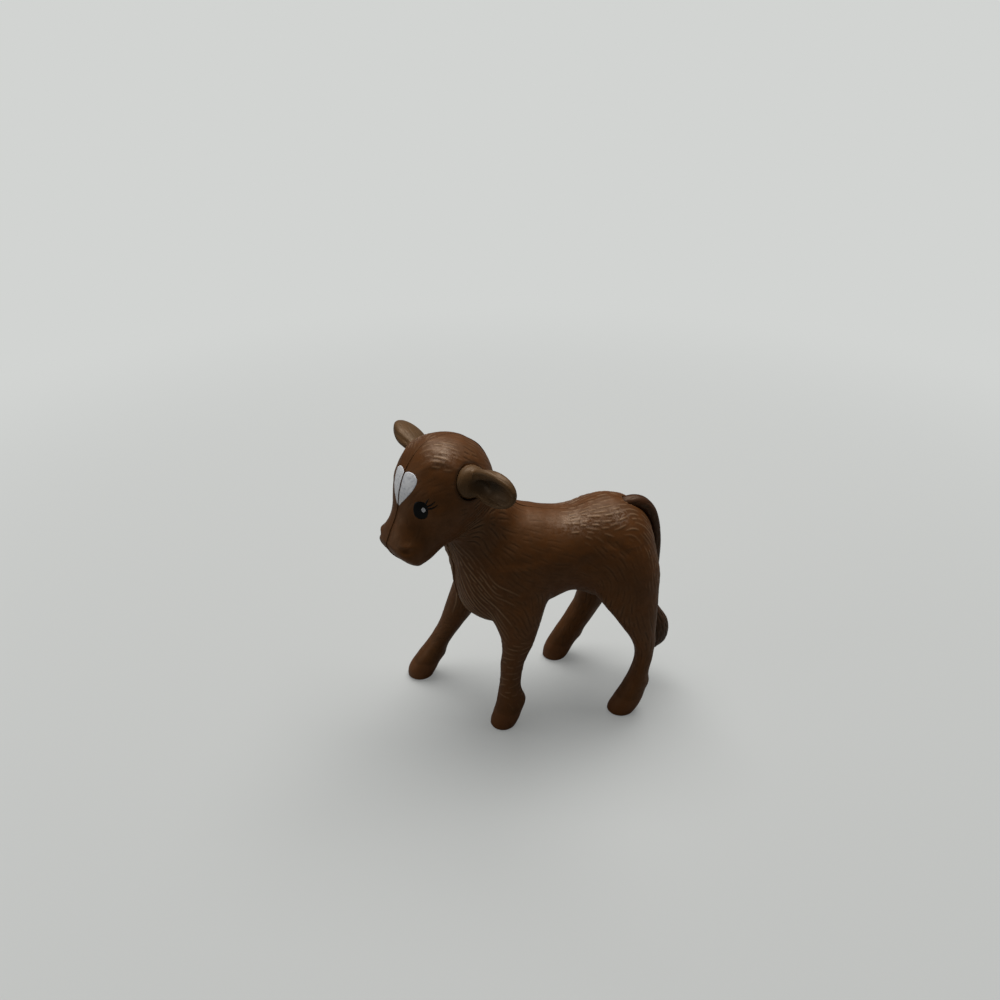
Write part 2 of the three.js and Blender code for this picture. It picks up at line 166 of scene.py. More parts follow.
def smooth_least(a: Array, b: Array, blend: float) -> Array:
    """The lesser of two values, rounded over where they lie within a blend of each other."""
    share = np.clip(0.5 + 0.5 * (b - a) / blend, 0.0, 1.0)
    return b * (1 - share) + a * share - blend * share * (1 - share)


# Forms: closed shapes given by a value that is negative inside them


@dataclass
class Place:
    """Where a local frame stands in the tables' frame."""

    turn: Array = field(default_factory=lambda: np.eye(3))
    origin: Array = field(default_factory=lambda: np.zeros(3))

    def local(self, points: Array) -> Array:
        """Points of the tables' frame, seen from this one."""
        return (points - self.origin) @ self.turn

    def outside(self, points: Array) -> Array:
        """Points of this frame, seen from the tables' frame."""
        return points @ self.turn.T + self.origin

    def then(self, inner: "Place") -> "Place":
        """The place of a frame that stands in this one."""
        return Place(self.turn @ inner.turn, self.outside(inner.origin))


@dataclass
class Form:
    """A closed shape in its own place."""

    place: Place = field(default_factory=Place, kw_only=True)

    def local_box(self) -> tuple[Array, Array]:
        """The lowest and highest corner in the form's own frame."""
        raise NotImplementedError

    def local_value(self, points: Array) -> Array:
        """The measure of a point: below zero inside, and roughly a distance near the surface.

        Args:
            points: Points of the form's own frame, in an array of any shape whose rows are X, Y and Z.

        Returns:
            One value for each point.
        """
        raise NotImplementedError

    def box(self) -> tuple[Array, Array]:
        """The lowest and highest corner in the tables' frame."""
        placed = self.place.outside(np.array(list(product(*zip(*self.local_box())))))
        return placed.min(0), placed.max(0)

    def value(self, points: Array) -> Array:
        """The measure at points of the tables' frame, below zero inside."""
        return self.local_value(self.place.local(points))


@dataclass
class Egg(Form):
    """An ellipsoid. Its front half, towards -X, may have a reach of its own."""

    centre: Triple
    radii: Triple
    front: float | None = None

    def local_box(self) -> tuple[Array, Array]:
        """The box round the ellipsoid."""
        reach = np.array([max(self.radii[0], self.front or 0.0), *self.radii[1:]])
        return np.array(self.centre) - reach, np.array(self.centre) + reach

    def local_value(self, points: Array) -> Array:
        """How far out a point lies, as a share of the radii, times the least radius."""
        offset = points - np.array(self.centre)
        length = np.full(offset.shape[:-1], self.radii[0])
        if self.front is not None:
            length = np.where(offset[..., 0] < 0, self.front, self.radii[0])
        share = (offset[..., 0] / length) ** 2
        share += (offset[..., 1] / self.radii[1]) ** 2 + (offset[..., 2] / self.radii[2]) ** 2
        return (np.sqrt(share) - 1) * min(self.radii)


@dataclass
class Sections(Form):
    """A shape with an oval section at each station along one axis, flat at both ends.

    Rows hold the station, the middle along the other two axes and the two half sizes.
    """

    rows: Table
    axis: int
    steps: int = 8

    def __post_init__(self) -> None:
        """Works out the fine rows, in rising order of station."""
        fine = smooth_rows(self.rows, self.steps)
        self.fine = fine[np.argsort(fine[:, 0])]
        self.others = [i for i in range(3) if i != self.axis]

    def local_box(self) -> tuple[Array, Array]:
        """The box round all the sections."""
        low, high = np.zeros(3), np.zeros(3)
        low[self.axis], high[self.axis] = self.fine[0, 0], self.fine[-1, 0]
        for k, other in enumerate(self.others):
            low[other] = (self.fine[:, 1 + k] - self.fine[:, 3 + k]).min()
            high[other] = (self.fine[:, 1 + k] + self.fine[:, 3 + k]).max()
        return low, high

    def local_value(self, points: Array) -> Array:
        """The distance from the section's oval, or from the nearer end."""
        station = points[..., self.axis]
        column = [np.interp(station, self.fine[:, 0], self.fine[:, k]) for k in range(1, 5)]
        shares = [(points[..., other] - column[k]) / column[2 + k] for k, other in enumerate(self.others)]
        oval = (np.hypot(*shares) - 1) * np.minimum(column[2], column[3])
        return np.maximum(oval, np.maximum(self.fine[0, 0] - station, station - self.fine[-1, 0]))


@dataclass
class Limb(Form):
    """A shape with an oval section square to a bent line that stays near an XZ plane.

    Rows hold X, Y and Z of the middle, the half depth in the plane and the half width. Both ends
    are rounded, and the cap is how far the last one reaches, if that isn't its least half size.
    """

    rows: Table
    steps: int = 5
    cap: float | None = None

    def __post_init__(self) -> None:
        """Works out the fine rows and the line's direction at each."""
        self.fine = smooth_rows(self.rows, self.steps)
        self.along = unit(np.gradient(self.fine[:, :3], axis=0))

    def local_box(self) -> tuple[Array, Array]:
        """The box round every section."""
        reach = self.fine[:, 3:5].max()
        return self.fine[:, :3].min(0) - reach, self.fine[:, :3].max(0) + reach

    def local_value(self, points: Array) -> Array:
        """The distance from the oval at the nearest place of the line, rounded at both ends."""
        line = self.fine[:, :3]
        nearest = np.full(points.shape[:-1], np.inf)
        station = np.zeros(points.shape[:-1])
        for i in range(len(line) - 1):
            step = line[i + 1] - line[i]
            share = np.clip(((points - line[i]) @ step) / (step @ step), 0.0, 1.0)
            gap = ((points - line[i] - share[..., None] * step) ** 2).sum(-1)
            closer = gap < nearest
            nearest = np.where(closer, gap, nearest)
            station = np.where(closer, i + share, station)
        rows = np.arange(len(line))
        middle = np.stack([np.interp(station, rows, line[:, k]) for k in range(3)], -1)
        along = unit(np.stack([np.interp(station, rows, self.along[:, k]) for k in range(3)], -1))
        half = [np.interp(station, rows, self.fine[:, k]) for k in (3, 4)]
        depth = unit(np.cross([0.0, 1.0, 0.0], along))
        width = np.cross(along, depth)
        offset = points - middle
        least = np.minimum(*half)
        beyond = (offset * along).sum(-1)
        reach = np.where(beyond > 0, self.cap or least, least)
        share = ((offset * depth).sum(-1) / half[0]) ** 2 + ((offset * width).sum(-1) / half[1]) ** 2
        share += (beyond / reach) ** 2
        return (np.sqrt(share) - 1) * least


@dataclass
class Swelling:
    """A soft rise of the surface near one place, or a dent where its rise is below zero."""

    centre: Triple
    radii: Triple
    rise: float
    place: Place = field(default_factory=Place)


@dataclass(frozen=True)
class Crease:
    """A soft ridge along a smooth curve, or a groove where its rise is below zero.

    It is made of a row of swellings that stand half a radius apart, lower towards both ends.
    """

    rows: Table
    radius: float
    rise: float
    steps: int = 12
    taper: float = 0.6

    def swellings(self, place: Place, sign: int) -> list[Swelling]:
        """The crease on one side of the calf.

        Args:
            place: The frame that the rows are in.
            sign: 1 for the right side, on which the rows lie, or -1 for the left.

        Returns:
            Its small swellings.
        """
        line = smooth_rows(tuple(across(row, sign) for row in self.rows), self.steps)
        run = np.concatenate([[0.0], np.cumsum(np.linalg.norm(np.diff(line, axis=0), axis=1))])
        count = max(int(2 * run[-1] / self.radius), 2)
        stations = np.linspace(0.0, run[-1], count)
        points = np.stack([np.interp(stations, run, line[:, k]) for k in range(3)], -1)
        shares = np.sin(math.pi * (np.arange(count) + 0.5) / count) ** self.taper
        overlap = math.sqrt(math.pi) * 2
        radii = (self.radius,) * 3
        rises = self.rise * shares / overlap
        return [Swelling(tuple(point), radii, rise, place) for point, rise in zip(points, rises)]


@dataclass
class Field:
    """A block of space on a cubic grid, whose values are below zero inside the plastic.

    A measure is divided by its slope to give a distance. The slope is held within limits, as it
    falls to nothing in the middle of a form and jumps where two forms meet.
    """

    low: Array
    high: Array
    step: float
    far: float = 10.0
    least_slope: float = 0.3
    slope_limits: tuple[float, float] = (0.25, 4.0)
    least_steepness: float = 0.04
    reach: float = 0.75

    def __post_init__(self) -> None:
        """Fills the block with empty space."""
        counts = np.ceil((self.high - self.low) / self.step).astype(int) + 1
        self.axes = [self.low[k] + self.step * np.arange(counts[k]) for k in range(3)]
        self.values = np.full(counts, self.far)

    def _patch(self, form: Form, blend: float) -> tuple[tuple[slice, ...], Array]:
        """Measures a form where it matters.

        Args:
            form: The form.
            blend: How far from it its fillet reaches, in millimetres.

        Returns:
            The part of the block near the form, and the distance from the form there.
        """
        low, high = form.box()
        margin = blend + 2 * self.step
        cuts = []
        for k in range(3):
            first = np.searchsorted(self.axes[k], low[k] - margin)
            last = np.searchsorted(self.axes[k], high[k] + margin)
            cuts.append(slice(max(first, 0), max(last, first + 2)))
        grid = np.meshgrid(*[self.axes[k][cuts[k]] for k in range(3)], indexing="ij")
        values = form.value(np.stack(grid, -1))
        slope = np.sqrt(sum(g**2 for g in np.gradient(values, self.step)))
        return tuple(cuts), values / np.clip(slope, self.least_slope, None)

    def add(self, form: Form, blend: float) -> None:
        """Joins a form on, with a fillet of about the blend's size."""
        cuts, values = self._patch(form, blend)
        self.values[cuts] = smooth_least(self.values[cuts], values, blend)

    def carve(self, form: Form, blend: float) -> None:
        """Takes a form out, with edges rounded by about the blend's size."""
        cuts, values = self._patch(form, blend)
        self.values[cuts] = -smooth_least(-self.values[cuts], values, blend)

    def level(self) -> None:
        """Makes the values near the surface distances in millimetres again."""
        slope = np.sqrt(sum(g**2 for g in np.gradient(self.values, self.step)))
        self.values /= np.clip(slope, *self.slope_limits)

    def sample(self, points: Array) -> Array:
        """Reads the value at any points.

        Args:
            points: Rows of X, Y and Z.

        Returns:
            One value for each, worked out between the grid's own.
        """
        place = (points - self.low) / self.step
        base = np.clip(np.floor(place).astype(int), 0, np.array(self.values.shape) - 2)
        share = place - base
        total = np.zeros(len(points))
        for corner in np.ndindex(2, 2, 2):
            at = base + corner
            weight = np.prod(np.where(corner, share, 1 - share), axis=1)
            total += weight * self.values[at[:, 0], at[:, 1], at[:, 2]]
        return total

    def slope(self, points: Array) -> Array:
        """The direction and steepness in which the value grows at some points."""
        parts = []
        for offset in np.eye(3) * self.reach * self.step:
            parts.append((self.sample(points + offset) - self.sample(points - offset)) / (2 * offset.sum()))
        return np.stack(parts, -1)

    def settle(self, points: Array) -> Array:
        """Moves points near the surface onto it, by one step along the slope."""
        slope = self.slope(points)
        steepness = np.maximum((slope**2).sum(-1), self.least_steepness)
        return points - slope * (self.sample(points) / steepness)[:, None]


# Skins: quad meshes as arrays


@dataclass
class Skin:
    """A closed surface of four-sided faces, in millimetres."""

    points: Array
    quads: Array

    @classmethod
    def of(cls, block: Field, rounds: int, fine_rounds: int) -> "Skin":
        """Skins a block, with twice as many points along the surface as the grid has.

        Args:
            block: The field to skin.
            rounds: How often the points of the grid's cells are evened out.
            fine_rounds: The same, once each face is cut into four.

        Returns:
            The skin.
        """
        skin = cls.crossing(block)
        skin.fit(block, rounds)
        skin.refine()
        skin.fit(block, fine_rounds)
        return skin

    @classmethod
    def crossing(cls, block: Field) -> "Skin":
        """Draws the surface where the block's value passes through zero.

        Args:
            block: The field to skin.

        Returns:
            The skin, with one point in each grid cell that the surface crosses.
        """
        values = block.values
        inside = values < 0
        shape = np.array(values.shape)
        corner_of = list(np.ndindex(2, 2, 2))
        count = np.zeros(shape - 1, np.int8)
        for corner in corner_of:
            count += inside[tuple(slice(c, n - 1 + c) for c, n in zip(corner, shape))]
        cells = np.argwhere((count > 0) & (count < 8))
        index = np.full(shape - 1, -1, np.int64)
        index[tuple(cells.T)] = np.arange(len(cells))
        corner_values = np.stack([values[tuple((cells + corner).T)] for corner in corner_of], 1)
        total = np.zeros((len(cells), 3))
        crossings = np.zeros(len(cells))
        for a, first in enumerate(corner_of):
            for b, second in enumerate(corner_of):
                if b > a and sum(abs(p - q) for p, q in zip(first, second)) == 1:
                    u, v = corner_values[:, a], corner_values[:, b]
                    crosses = (u < 0) != (v < 0)
                    share = np.where(crosses, u / np.where(crosses, u - v, 1.0), 0.0)
                    place = np.array(first) + share[:, None] * (np.array(second) - np.array(first))
                    total += place * crosses[:, None]
                    crossings += crosses
        points = block.low + block.step * (cells + total / crossings[:, None])
        quads = []
        for a in range(3):
            b, c = (a + 1) % 3, (a + 2) % 3
            step_a, step_b, step_c = np.eye(3, dtype=int)[[a, b, c]]
            low = inside[tuple(slice(0, n - 1) if k == a else slice(1, n - 1) for k, n in enumerate(shape))]
            high = inside[tuple(slice(1, n) if k == a else slice(1, n - 1) for k, n in enumerate(shape))]
            start = step_b + step_c
            for leaving, flip in ((low & ~high, False), (high & ~low, True)):
                at = np.argwhere(leaving) + start
                around = [at - step_b - step_c, at - step_c, at, at - step_b]
                faces = np.stack([index[tuple(cell.T)] for cell in around], 1)
                quads.append(faces[:, ::-1] if flip else faces)
        return cls(points, np.vstack(quads))

    def edge_ends(self) -> tuple[Array, Array]:
        """Both ends of every side of every face."""
        return self.quads.ravel(), np.roll(self.quads, -1, axis=1).ravel()

    def fit(self, block: Field, rounds: int) -> None:
        """Evens the points out along a block's surface.

        Args:
            block: The block.
            rounds: How often each point goes half way to its neighbours' middle and back on the surface.
        """
        start, end = self.edge_ends()
        size = len(self.points)
        count = np.maximum(np.bincount(start, minlength=size) + np.bincount(end, minlength=size), 1)
        for _ in range(rounds):
            middle = np.empty_like(self.points)
            for k in range(3):
                middle[:, k] = np.bincount(start, self.points[end, k], size)
                middle[:, k] += np.bincount(end, self.points[start, k], size)
            relaxed = self.points + 0.5 * (middle / count[:, None] - self.points)
            self.points = block.settle(relaxed)

    def swell(self, swellings: list[Swelling]) -> None:
        """Raises or sinks the surface softly round some places.

        Args:
            swellings: What is raised, each round the skin's nearest point to its centre.
        """
        lift = np.zeros(len(self.points))
        for swelling in swellings:
            offset = swelling.place.local(self.points) - np.array(swelling.centre)
            offset -= offset[np.argmin((offset**2).sum(-1))]
            lift += swelling.rise * np.exp(-((offset / np.array(swelling.radii)) ** 2).sum(-1))
        self.points = self.points + self.normals() * lift[:, None]

    def refine(self) -> None:
        """Cuts each face into four."""
        start, end = self.edge_ends()
        pairs = np.sort(np.stack([start, end], 1), axis=1)
        keys, which = np.unique(pairs[:, 0] * len(self.points) + pairs[:, 1], return_inverse=True)
        first, second = keys // len(self.points), keys % len(self.points)
        size = len(self.points)
        edge_points = (self.points[first] + self.points[second]) / 2
        face_points = self.points[self.quads].mean(1)
        side = which.reshape(-1, 4) + size
        face = np.arange(len(self.quads)) + size + len(keys)
        parts = [np.stack([self.quads[:, k], side[:, k], face, side[:, k - 1]], 1) for k in range(4)]
        self.points = np.vstack([self.points, edge_points, face_points])
        self.quads = np.vstack(parts)

    def blurred(self, values: Array, rounds: int) -> Array:
        """Averages values with those of the neighbouring points.

        Args:
            values: One value for each point.
            rounds: How often it is done.

        Returns:
            The new values.
        """
        start, end = self.edge_ends()
        size = len(self.points)
        count = 1 + np.bincount(start, minlength=size) + np.bincount(end, minlength=size)
        for _ in range(rounds):
            values = values + np.bincount(start, values[end], size) + np.bincount(end, values[start], size)
            values = values / count
        return values

    def normals(self) -> Array:
        """The outward direction at each point."""
        corner = self.points[self.quads]
        face = np.cross(corner[:, 2] - corner[:, 0], corner[:, 3] - corner[:, 1])
        total = np.zeros_like(self.points)
        for k in range(3):
            for j in range(4):
                total[:, k] += np.bincount(self.quads[:, j], face[:, k], len(self.points))
        return unit(total)


# Hair: engraved and raised strokes


@dataclass(frozen=True)
class Hair:
    """How the hair lies near one place.

    Its strokes have a length, keep a gap between them, and are cut in, or raised where the depth
    is below zero. The cover is the share of them that is really drawn.
    """

    place: Triple
    way: Triple
    length: float
    gap: float
    depth: float
    cover: float


def with_mirrored(hairs: tuple[Hair, ...]) -> tuple[Hair, ...]:
    """The rows and their mirror images on the other side."""
    mirrored = (replace(hair, place=across(hair.place, -1), way=across(hair.way, -1)) for hair in hairs)
    return (*hairs, *mirrored)


@dataclass
class Engraver:
    """Cuts short strokes along the lie of the hair into a skin."""

    places: Array
    ways: Array
    measures: Array
    seed: int
    half_width: float = 0.2
    step: float = 0.3
    wave: float = 0.35
    wave_size: float = 3.0
    full_depth: float = 0.14
    softness: float = 0.5  # keeps the weight of a row finite at its own place
    points_per_start: int = 4  # one point of the skin in so many may start a stroke
    least_points: int = 4
    lengths: tuple[float, float] = (0.5, 1.3)  # the spread about a row's own length
    depths: tuple[float, float] = (0.6, 1.2)
    taper: float = 0.6
    brush: float = 2.2  # how many half widths to either side are pressed
    blur: int = 5
    # The painted highlight beside engraved strokes and the painted shade beside raised strands are spread
    # from these
    ridge_gain: tuple[float, float] = (3.0, 2.0)  # what the blurred and the plain groove count for
    furrow_gain: tuple[float, float] = (2.5, 2.5)
    low_ridge: float = 0.5

    @classmethod
    def of(
        cls, hairs: tuple[Hair, ...], seed: int, place: Place | None = None, **settings: float
    ) -> "Engraver":
        """Makes an engraver from rows of one frame.

        Args:
            hairs: The rows.
            seed: A whole number that picks the strokes.
            place: The rows' frame, if it isn't the tables' own.
            **settings: Other fields of the engraver.

        Returns:
            The engraver.
        """
        place = place or Place()
        places = place.outside(np.array([hair.place for hair in hairs]))
        ways = np.array([hair.way for hair in hairs]) @ place.turn.T
        measures = np.array([[hair.length, hair.gap, hair.depth, hair.cover] for hair in hairs])
        return cls(places, unit(ways), measures, seed, **settings)

    def also(self, other: "Engraver") -> "Engraver":
        """Takes on the rows of another engraver."""
        for name in ("places", "ways", "measures"):
            setattr(self, name, np.vstack([getattr(self, name), getattr(other, name)]))
        return self

    def _lie(self, points: Array, normals: Array) -> tuple[Array, Array]:
        """Works out the lie of the hair from the rows nearby.

        Args:
            points: Points of the skin.
            normals: The outward direction at each.

        Returns:
            For each point, the hair's direction along the surface, and its length, gap, depth and cover.
        """
        ways = np.zeros_like(points)
        measures = np.zeros((len(points), 4))
        total = np.zeros(len(points))
        for place, way, measure in zip(self.places, self.ways, self.measures):
            weight = 1 / (((points - place) ** 2).sum(1) + self.softness) ** 2
            ways += weight[:, None] * way
            measures += weight[:, None] * measure
            total += weight
        ways = unit(ways - normals * (ways * normals).sum(1)[:, None])
        turn = self.wave * noise_at(points, self.wave_size, self.seed)
        ways = np.cos(turn)[:, None] * ways + np.sin(turn)[:, None] * np.cross(normals, ways)
        return ways, measures / total[:, None]

    def engrave(self, skin: Skin) -> tuple[Array, Array]:
        """Cuts the strokes into the skin.

        Args:
            skin: The skin, whose points are moved inwards along the strokes.

        Returns:
            How deep in a groove each point lies, and how far up on a ridge, from 0 to 1, which the material
            turns into painted shade and a painted highlight. The skin beside a stroke counts as a low ridge,
            and beside a raised strand as a groove.
        """
        normals = skin.normals()
        self.points = skin.points
        self.flow, measures = self._lie(skin.points, normals)
        self.tree = kdtree.KDTree(len(skin.points))
        for i, point in enumerate(skin.points):
            self.tree.insert(point, i)
        self.tree.balance()
        self.cut = np.zeros(len(skin.points))
        self.taken: dict[tuple[int, ...], list[Array]] = {}
        random = np.random.default_rng(self.seed)
        starts = random.permutation(len(skin.points))
        for start in starts[: len(starts) // self.points_per_start]:
            length, gap, depth, cover = measures[start]
            if random.random() > cover:
                continue
            path = self._path(start, random.uniform(*self.lengths) * length, gap)
            if len(path) >= self.least_points:
                self._stroke(path, depth * random.uniform(*self.depths))
        skin.points = skin.points - normals * self.cut[:, None]
        groove, strand = (np.clip(sign * self.cut / self.full_depth, 0.0, 1.0) for sign in (1, -1))
        ridge = self._beside(skin, groove, *self.ridge_gain)
        furrow_shade = self._beside(skin, strand, *self.furrow_gain)
        return np.maximum(groove, furrow_shade), np.maximum(strand, self.low_ridge * ridge)

    def _beside(self, skin: Skin, values: Array, spread: float, own: float) -> Array:
        """Finds the skin that lies just beside some strokes.

        Args:
            skin: The skin.
            values: How far each point lies on a stroke, from 0 to 1.
            spread: What the blurred values count for.
            own: What a point's own value takes off.

        Returns:
            One value from 0 to 1 for each point.
        """
        return np.clip(spread * skin.blurred(values, self.blur) - own * values, 0.0, 1.0)

    def _cell(self, point: Array) -> tuple[int, ...]:
        """The cubic millimetre that a point lies in."""
        return tuple(np.floor(point).astype(int))

    def _free(self, point: Array, gap: float) -> bool:
        """Whether a point keeps its distance from the strokes so far."""
        near = product(*((n - 1, n, n + 1) for n in self._cell(point)))
        return all(math.dist(point, other) >= gap for cell in near for other in self.taken.get(cell, ()))

    def _path(self, start: int, length: float, gap: float) -> list[int]:
        """Follows the lie of the hair.

        Args:
            start: The number of the point that it starts from.
            length: How far it goes, unless it meets another stroke or leaves the skin.
            gap: The least distance from any other stroke.

        Returns:
            The numbers of the points that it passes.
        """
        path = []
        index = start
        place = self.points[start]
        for _ in range(int(length / self.step)):
            if not self._free(place, gap):
                break
            path.append(index)
            place = place + self.step * self.flow[index]
            _, index, distance = self.tree.find(place)
            if distance > 2 * self.step:
                break
        return path

    def _stroke(self, path: list[int], depth: float) -> None:
        """Presses one stroke, tapered to both ends, into the cut values.

        Args:
            path: The numbers of the points that it passes.
            depth: How deep it is in the middle.
        """
        place = self.points[path[0]]
        for i, index in enumerate(path):
            share = math.sin(math.pi * (i + 0.5) / len(path)) ** self.taper
            for spot, number, _ in self.tree.find_range(place, self.brush * self.half_width):
                offset = np.subtract(spot, place)
                along = offset @ self.flow[index]
                aside = math.sqrt(max(offset @ offset - along * along, 0.0))
                press = depth * share * math.exp(-((aside / self.half_width) ** 2))
                if abs(along) <= self.step and abs(press) > abs(self.cut[number]):
                    self.cut[number] = press
            place = place + self.step * self.flow[index]
        for index in path:
            self.taken.setdefault(self._cell(self.points[index]), []).append(self.points[index])


# Paint: thin films that lie on the engraved skin


def ring_faces(rings: int, sides: int) -> Faces:
    """Joins rings of points.

    Args:
        rings: How many rings there are.
        sides: How many points each has.

    Returns:
        The faces between the rings, and one that closes the last.
    """
    faces = []
    for low in range(0, (rings - 1) * sides, sides):
        high = low + sides
        faces += [[low + i, low + (i + 1) % sides, high + (i + 1) % sides, high + i] for i in range(sides)]
    faces.append([(rings - 1) * sides + i for i in range(sides)])
    return faces


@dataclass(frozen=True)
class Film:
    """A coat of paint, drawn in a plane that looks at the skin along its Z.

    Its face lies a lift above the skin, and its underside a depth below that. The drawing starts
    at a distance from the plane that is clear of the skin.
    """

    lift: float = field(default=0.04, kw_only=True)
    depth: float = field(default=0.15, kw_only=True)
    distance: float = field(default=8.0, kw_only=True)

    def flat(self) -> tuple[Array, Faces, list[int]]:
        """The drawing's points, its faces and the way round its rim, all anticlockwise."""
        raise NotImplementedError

    def laid(self, place: Place, skin: bvhtree.BVHTree) -> tuple[Array, Faces]:
        """Lays the film on a skin.

        Args:
            place: The plane that the film is drawn in.
            skin: The skin to lie on.

        Returns:
            The points and faces of the closed film.
        """
        drawing, upper, rim = self.flat()
        axis = place.turn[:, 2]
        top = []
        for start in place.outside(np.column_stack([drawing, np.full(len(drawing), self.distance)])):
            hit = skin.ray_cast(Vector(start), Vector(-axis))[0] or skin.find_nearest(Vector(start))[0]
            top.append(np.array(hit) + self.lift * axis)
        below = len(top)
        faces = upper + [[below + corner for corner in face[::-1]] for face in upper]
        faces += [[b, a, below + a, below + b] for a, b in zip(rim, rim[1:] + rim[:1])]
        return np.vstack([top, np.array(top) - self.depth * axis]), faces


@dataclass(frozen=True)
class Patch(Film):
    """A film with a smooth closed outline, drawn anticlockwise round its middle."""

    outline: Table
    middle: tuple[float, float]
    rings: int = 10
    steps: int = 6

    def flat(self) -> tuple[Array, Faces, list[int]]:
        """Rings from the outline to the middle."""
        rows = self.outline
        fine = smooth_rows((rows[-1], *rows, rows[0], rows[1]), self.steps)
        edge = fine[self.steps : -1 - self.steps]
        sides = len(edge)
        middle = np.array(self.middle)
        rings = [middle + (edge - middle) * (1 - ring / self.rings) for ring in range(self.rings)]
        return np.vstack(rings), ring_faces(self.rings, sides), list(range(sides))


@dataclass(frozen=True)
class Lash(Film):
    """One tapering brush stroke. Rows hold X and Y of its middle and its half width."""

    rows: Table
    steps: int = 8

    def flat(self) -> tuple[Array, Faces, list[int]]:
        """A strip of faces along the stroke."""
        fine = smooth_rows(self.rows, self.steps)
        along = unit(np.gradient(fine[:, :2], axis=0))
        aside = np.stack([-along[:, 1], along[:, 0]], -1) * fine[:, 2:]
        count = len(fine)
        points = np.vstack([fine[:, :2] - aside, fine[:, :2] + aside])
        faces = [[i, i + 1, count + i + 1, count + i] for i in range(count - 1)]
        rim = [*range(count), *range(2 * count - 1, count - 1, -1)]
        return points, faces, rim


# Meshes in Blender


def linked(name: str, data: bpy.types.ID) -> Object:
    """Puts a new object in the scene.

    Args:
        name: Its name.
        data: The mesh, the lamp or the camera that it shows.

    Returns:
        The object.
    """
    made = bpy.data.objects.new(name, data)
    bpy.context.scene.collection.objects.link(made)
    return made


def new_object(
    name: str, points: Array, faces: list | Array, shift: Array, tones: Tones | None = None
) -> Object:
    """Makes a Blender object from points in the tables' frame.

    Args:
        name: The object's name.
        points: Its points, in millimetres.
        faces: The faces, as rows of point numbers.
        shift: What moves the tables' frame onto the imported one, in millimetres.
        tones: Values for each point that the material reads, by name.

    Returns:
        The object, smooth shaded and linked to the scene, in metres.
    """
    mesh = bpy.data.meshes.new(name)
    mesh.from_pydata(((points + shift) * MM).tolist(), [], [list(face) for face in faces])
    for tone, values in (tones or {}).items():
        mesh.attributes.new(tone, "FLOAT", "POINT").data.foreach_set("value", values.astype(np.float32))
    mesh.shade_smooth()
    return linked(name, mesh)


def cut_away(piece: Object, tool: Object) -> None:
    """Takes one object's space out of another's mesh.

    Args:
        piece: The object that is cut.
        tool: The object that it is cut with, which is removed.
    """
    modifier = piece.modifiers.new("cut", "BOOLEAN")
    modifier.operation = "DIFFERENCE"
    modifier.solver = "MANIFOLD"
    modifier.object = tool
    evaluated = piece.evaluated_get(bpy.context.evaluated_depsgraph_get())
    mesh = bpy.data.meshes.new_from_object(evaluated)
    piece.modifiers.remove(modifier)
    old = piece.data
    piece.data = mesh
    bpy.data.meshes.remove(old)
    bpy.data.objects.remove(tool)


@dataclass
class PartingLine:
    """The bent wall between the halves: the body's middle plane, an arc and the head's plane."""

    neck_x: float
    turn: float
    reach: float = 6.0

    def __post_init__(self) -> None:
        """Works out the arc."""
        self.angle = math.radians(self.turn)
        self.radius = self.reach / math.tan(self.angle / 2)
        self.pivot = np.array([self.neck_x + self.reach, -self.radius])

    def _turned(self, offset: Array, angle: float) -> Array:
        """Offsets in plan, turned by an angle in radians."""
        c, s = math.cos(angle), math.sin(angle)
        return np.stack([c * offset[:, 0] - s * offset[:, 1], s * offset[:, 0] + c * offset[:, 1]], -1)

    def straight(self, points: Array) -> Array:
        """Points as if the neck weren't bent.

        Args:
            points: Points of the tables' frame.

        Returns:
            For each, the length along the line, the distance to its right, and Z.
        """
        offset = points[:, :2] - self.pivot
        angle = np.arctan2(-offset[:, 0], offset[:, 1])
        head = self._turned(offset, -self.angle)
        along = np.where(angle < 0, -offset[:, 0], self.radius * angle)
        aside = np.where(angle < 0, offset[:, 1], np.hypot(*offset.T)) - self.radius
        along = np.where(angle > self.angle, self.radius * self.angle - head[:, 0], along)
        aside = np.where(angle > self.angle, head[:, 1] - self.radius, aside)
        return np.stack([along, aside, points[:, 2]], -1)

    def bent(self, points: Array) -> Array:
        """The way back to the tables' frame.

        Args:
            points: Straight points.

        Returns:
            The points with the neck bent.
        """
        along, aside = points[:, 0], points[:, 1] + self.radius
        angle = np.clip(along / self.radius, 0.0, self.angle)
        body = np.stack([-np.minimum(along, 0.0), aside], -1)
        head = np.stack([-np.maximum(along - self.radius * self.angle, 0.0), aside], -1)
        arc = np.stack([-aside * np.sin(angle), aside * np.cos(angle)], -1)
        ahead = self._turned(head, self.angle)
        flat = np.where((along <= 0)[:, None], body, arc)
        flat = np.where((along > self.radius * self.angle)[:, None], ahead, flat)
        return np.column_stack([flat + self.pivot, points[:, 2]])


# Finishes


def linear(tone: str) -> Colour:
    """Turns an sRGB hex colour to the linear one that a shader takes."""
    parts = [int(tone[i : i + 2], 16) / 255 for i in (1, 3, 5)]
    return (*(p / 12.92 if p <= 0.04045 else ((p + 0.055) / 1.055) ** 2.4 for p in parts), 1.0)


def per_metre(size: float) -> float:
    """The scale that gives a pattern of the given size in millimetres."""
    return 1 / (size * MM)


def plug(tree: NodeTree, node: bpy.types.Node, inputs: dict) -> None:
    """Sets a node's sockets.

    Args:
        tree: The tree that it is in.
        node: The node.
        inputs: Values for its sockets, or sockets to link to them, by name or number.
    """
    for name, value in inputs.items():
        if isinstance(value, NodeSocket):
            tree.links.new(value, node.inputs[name])
        else:
            node.inputs[name].default_value = value


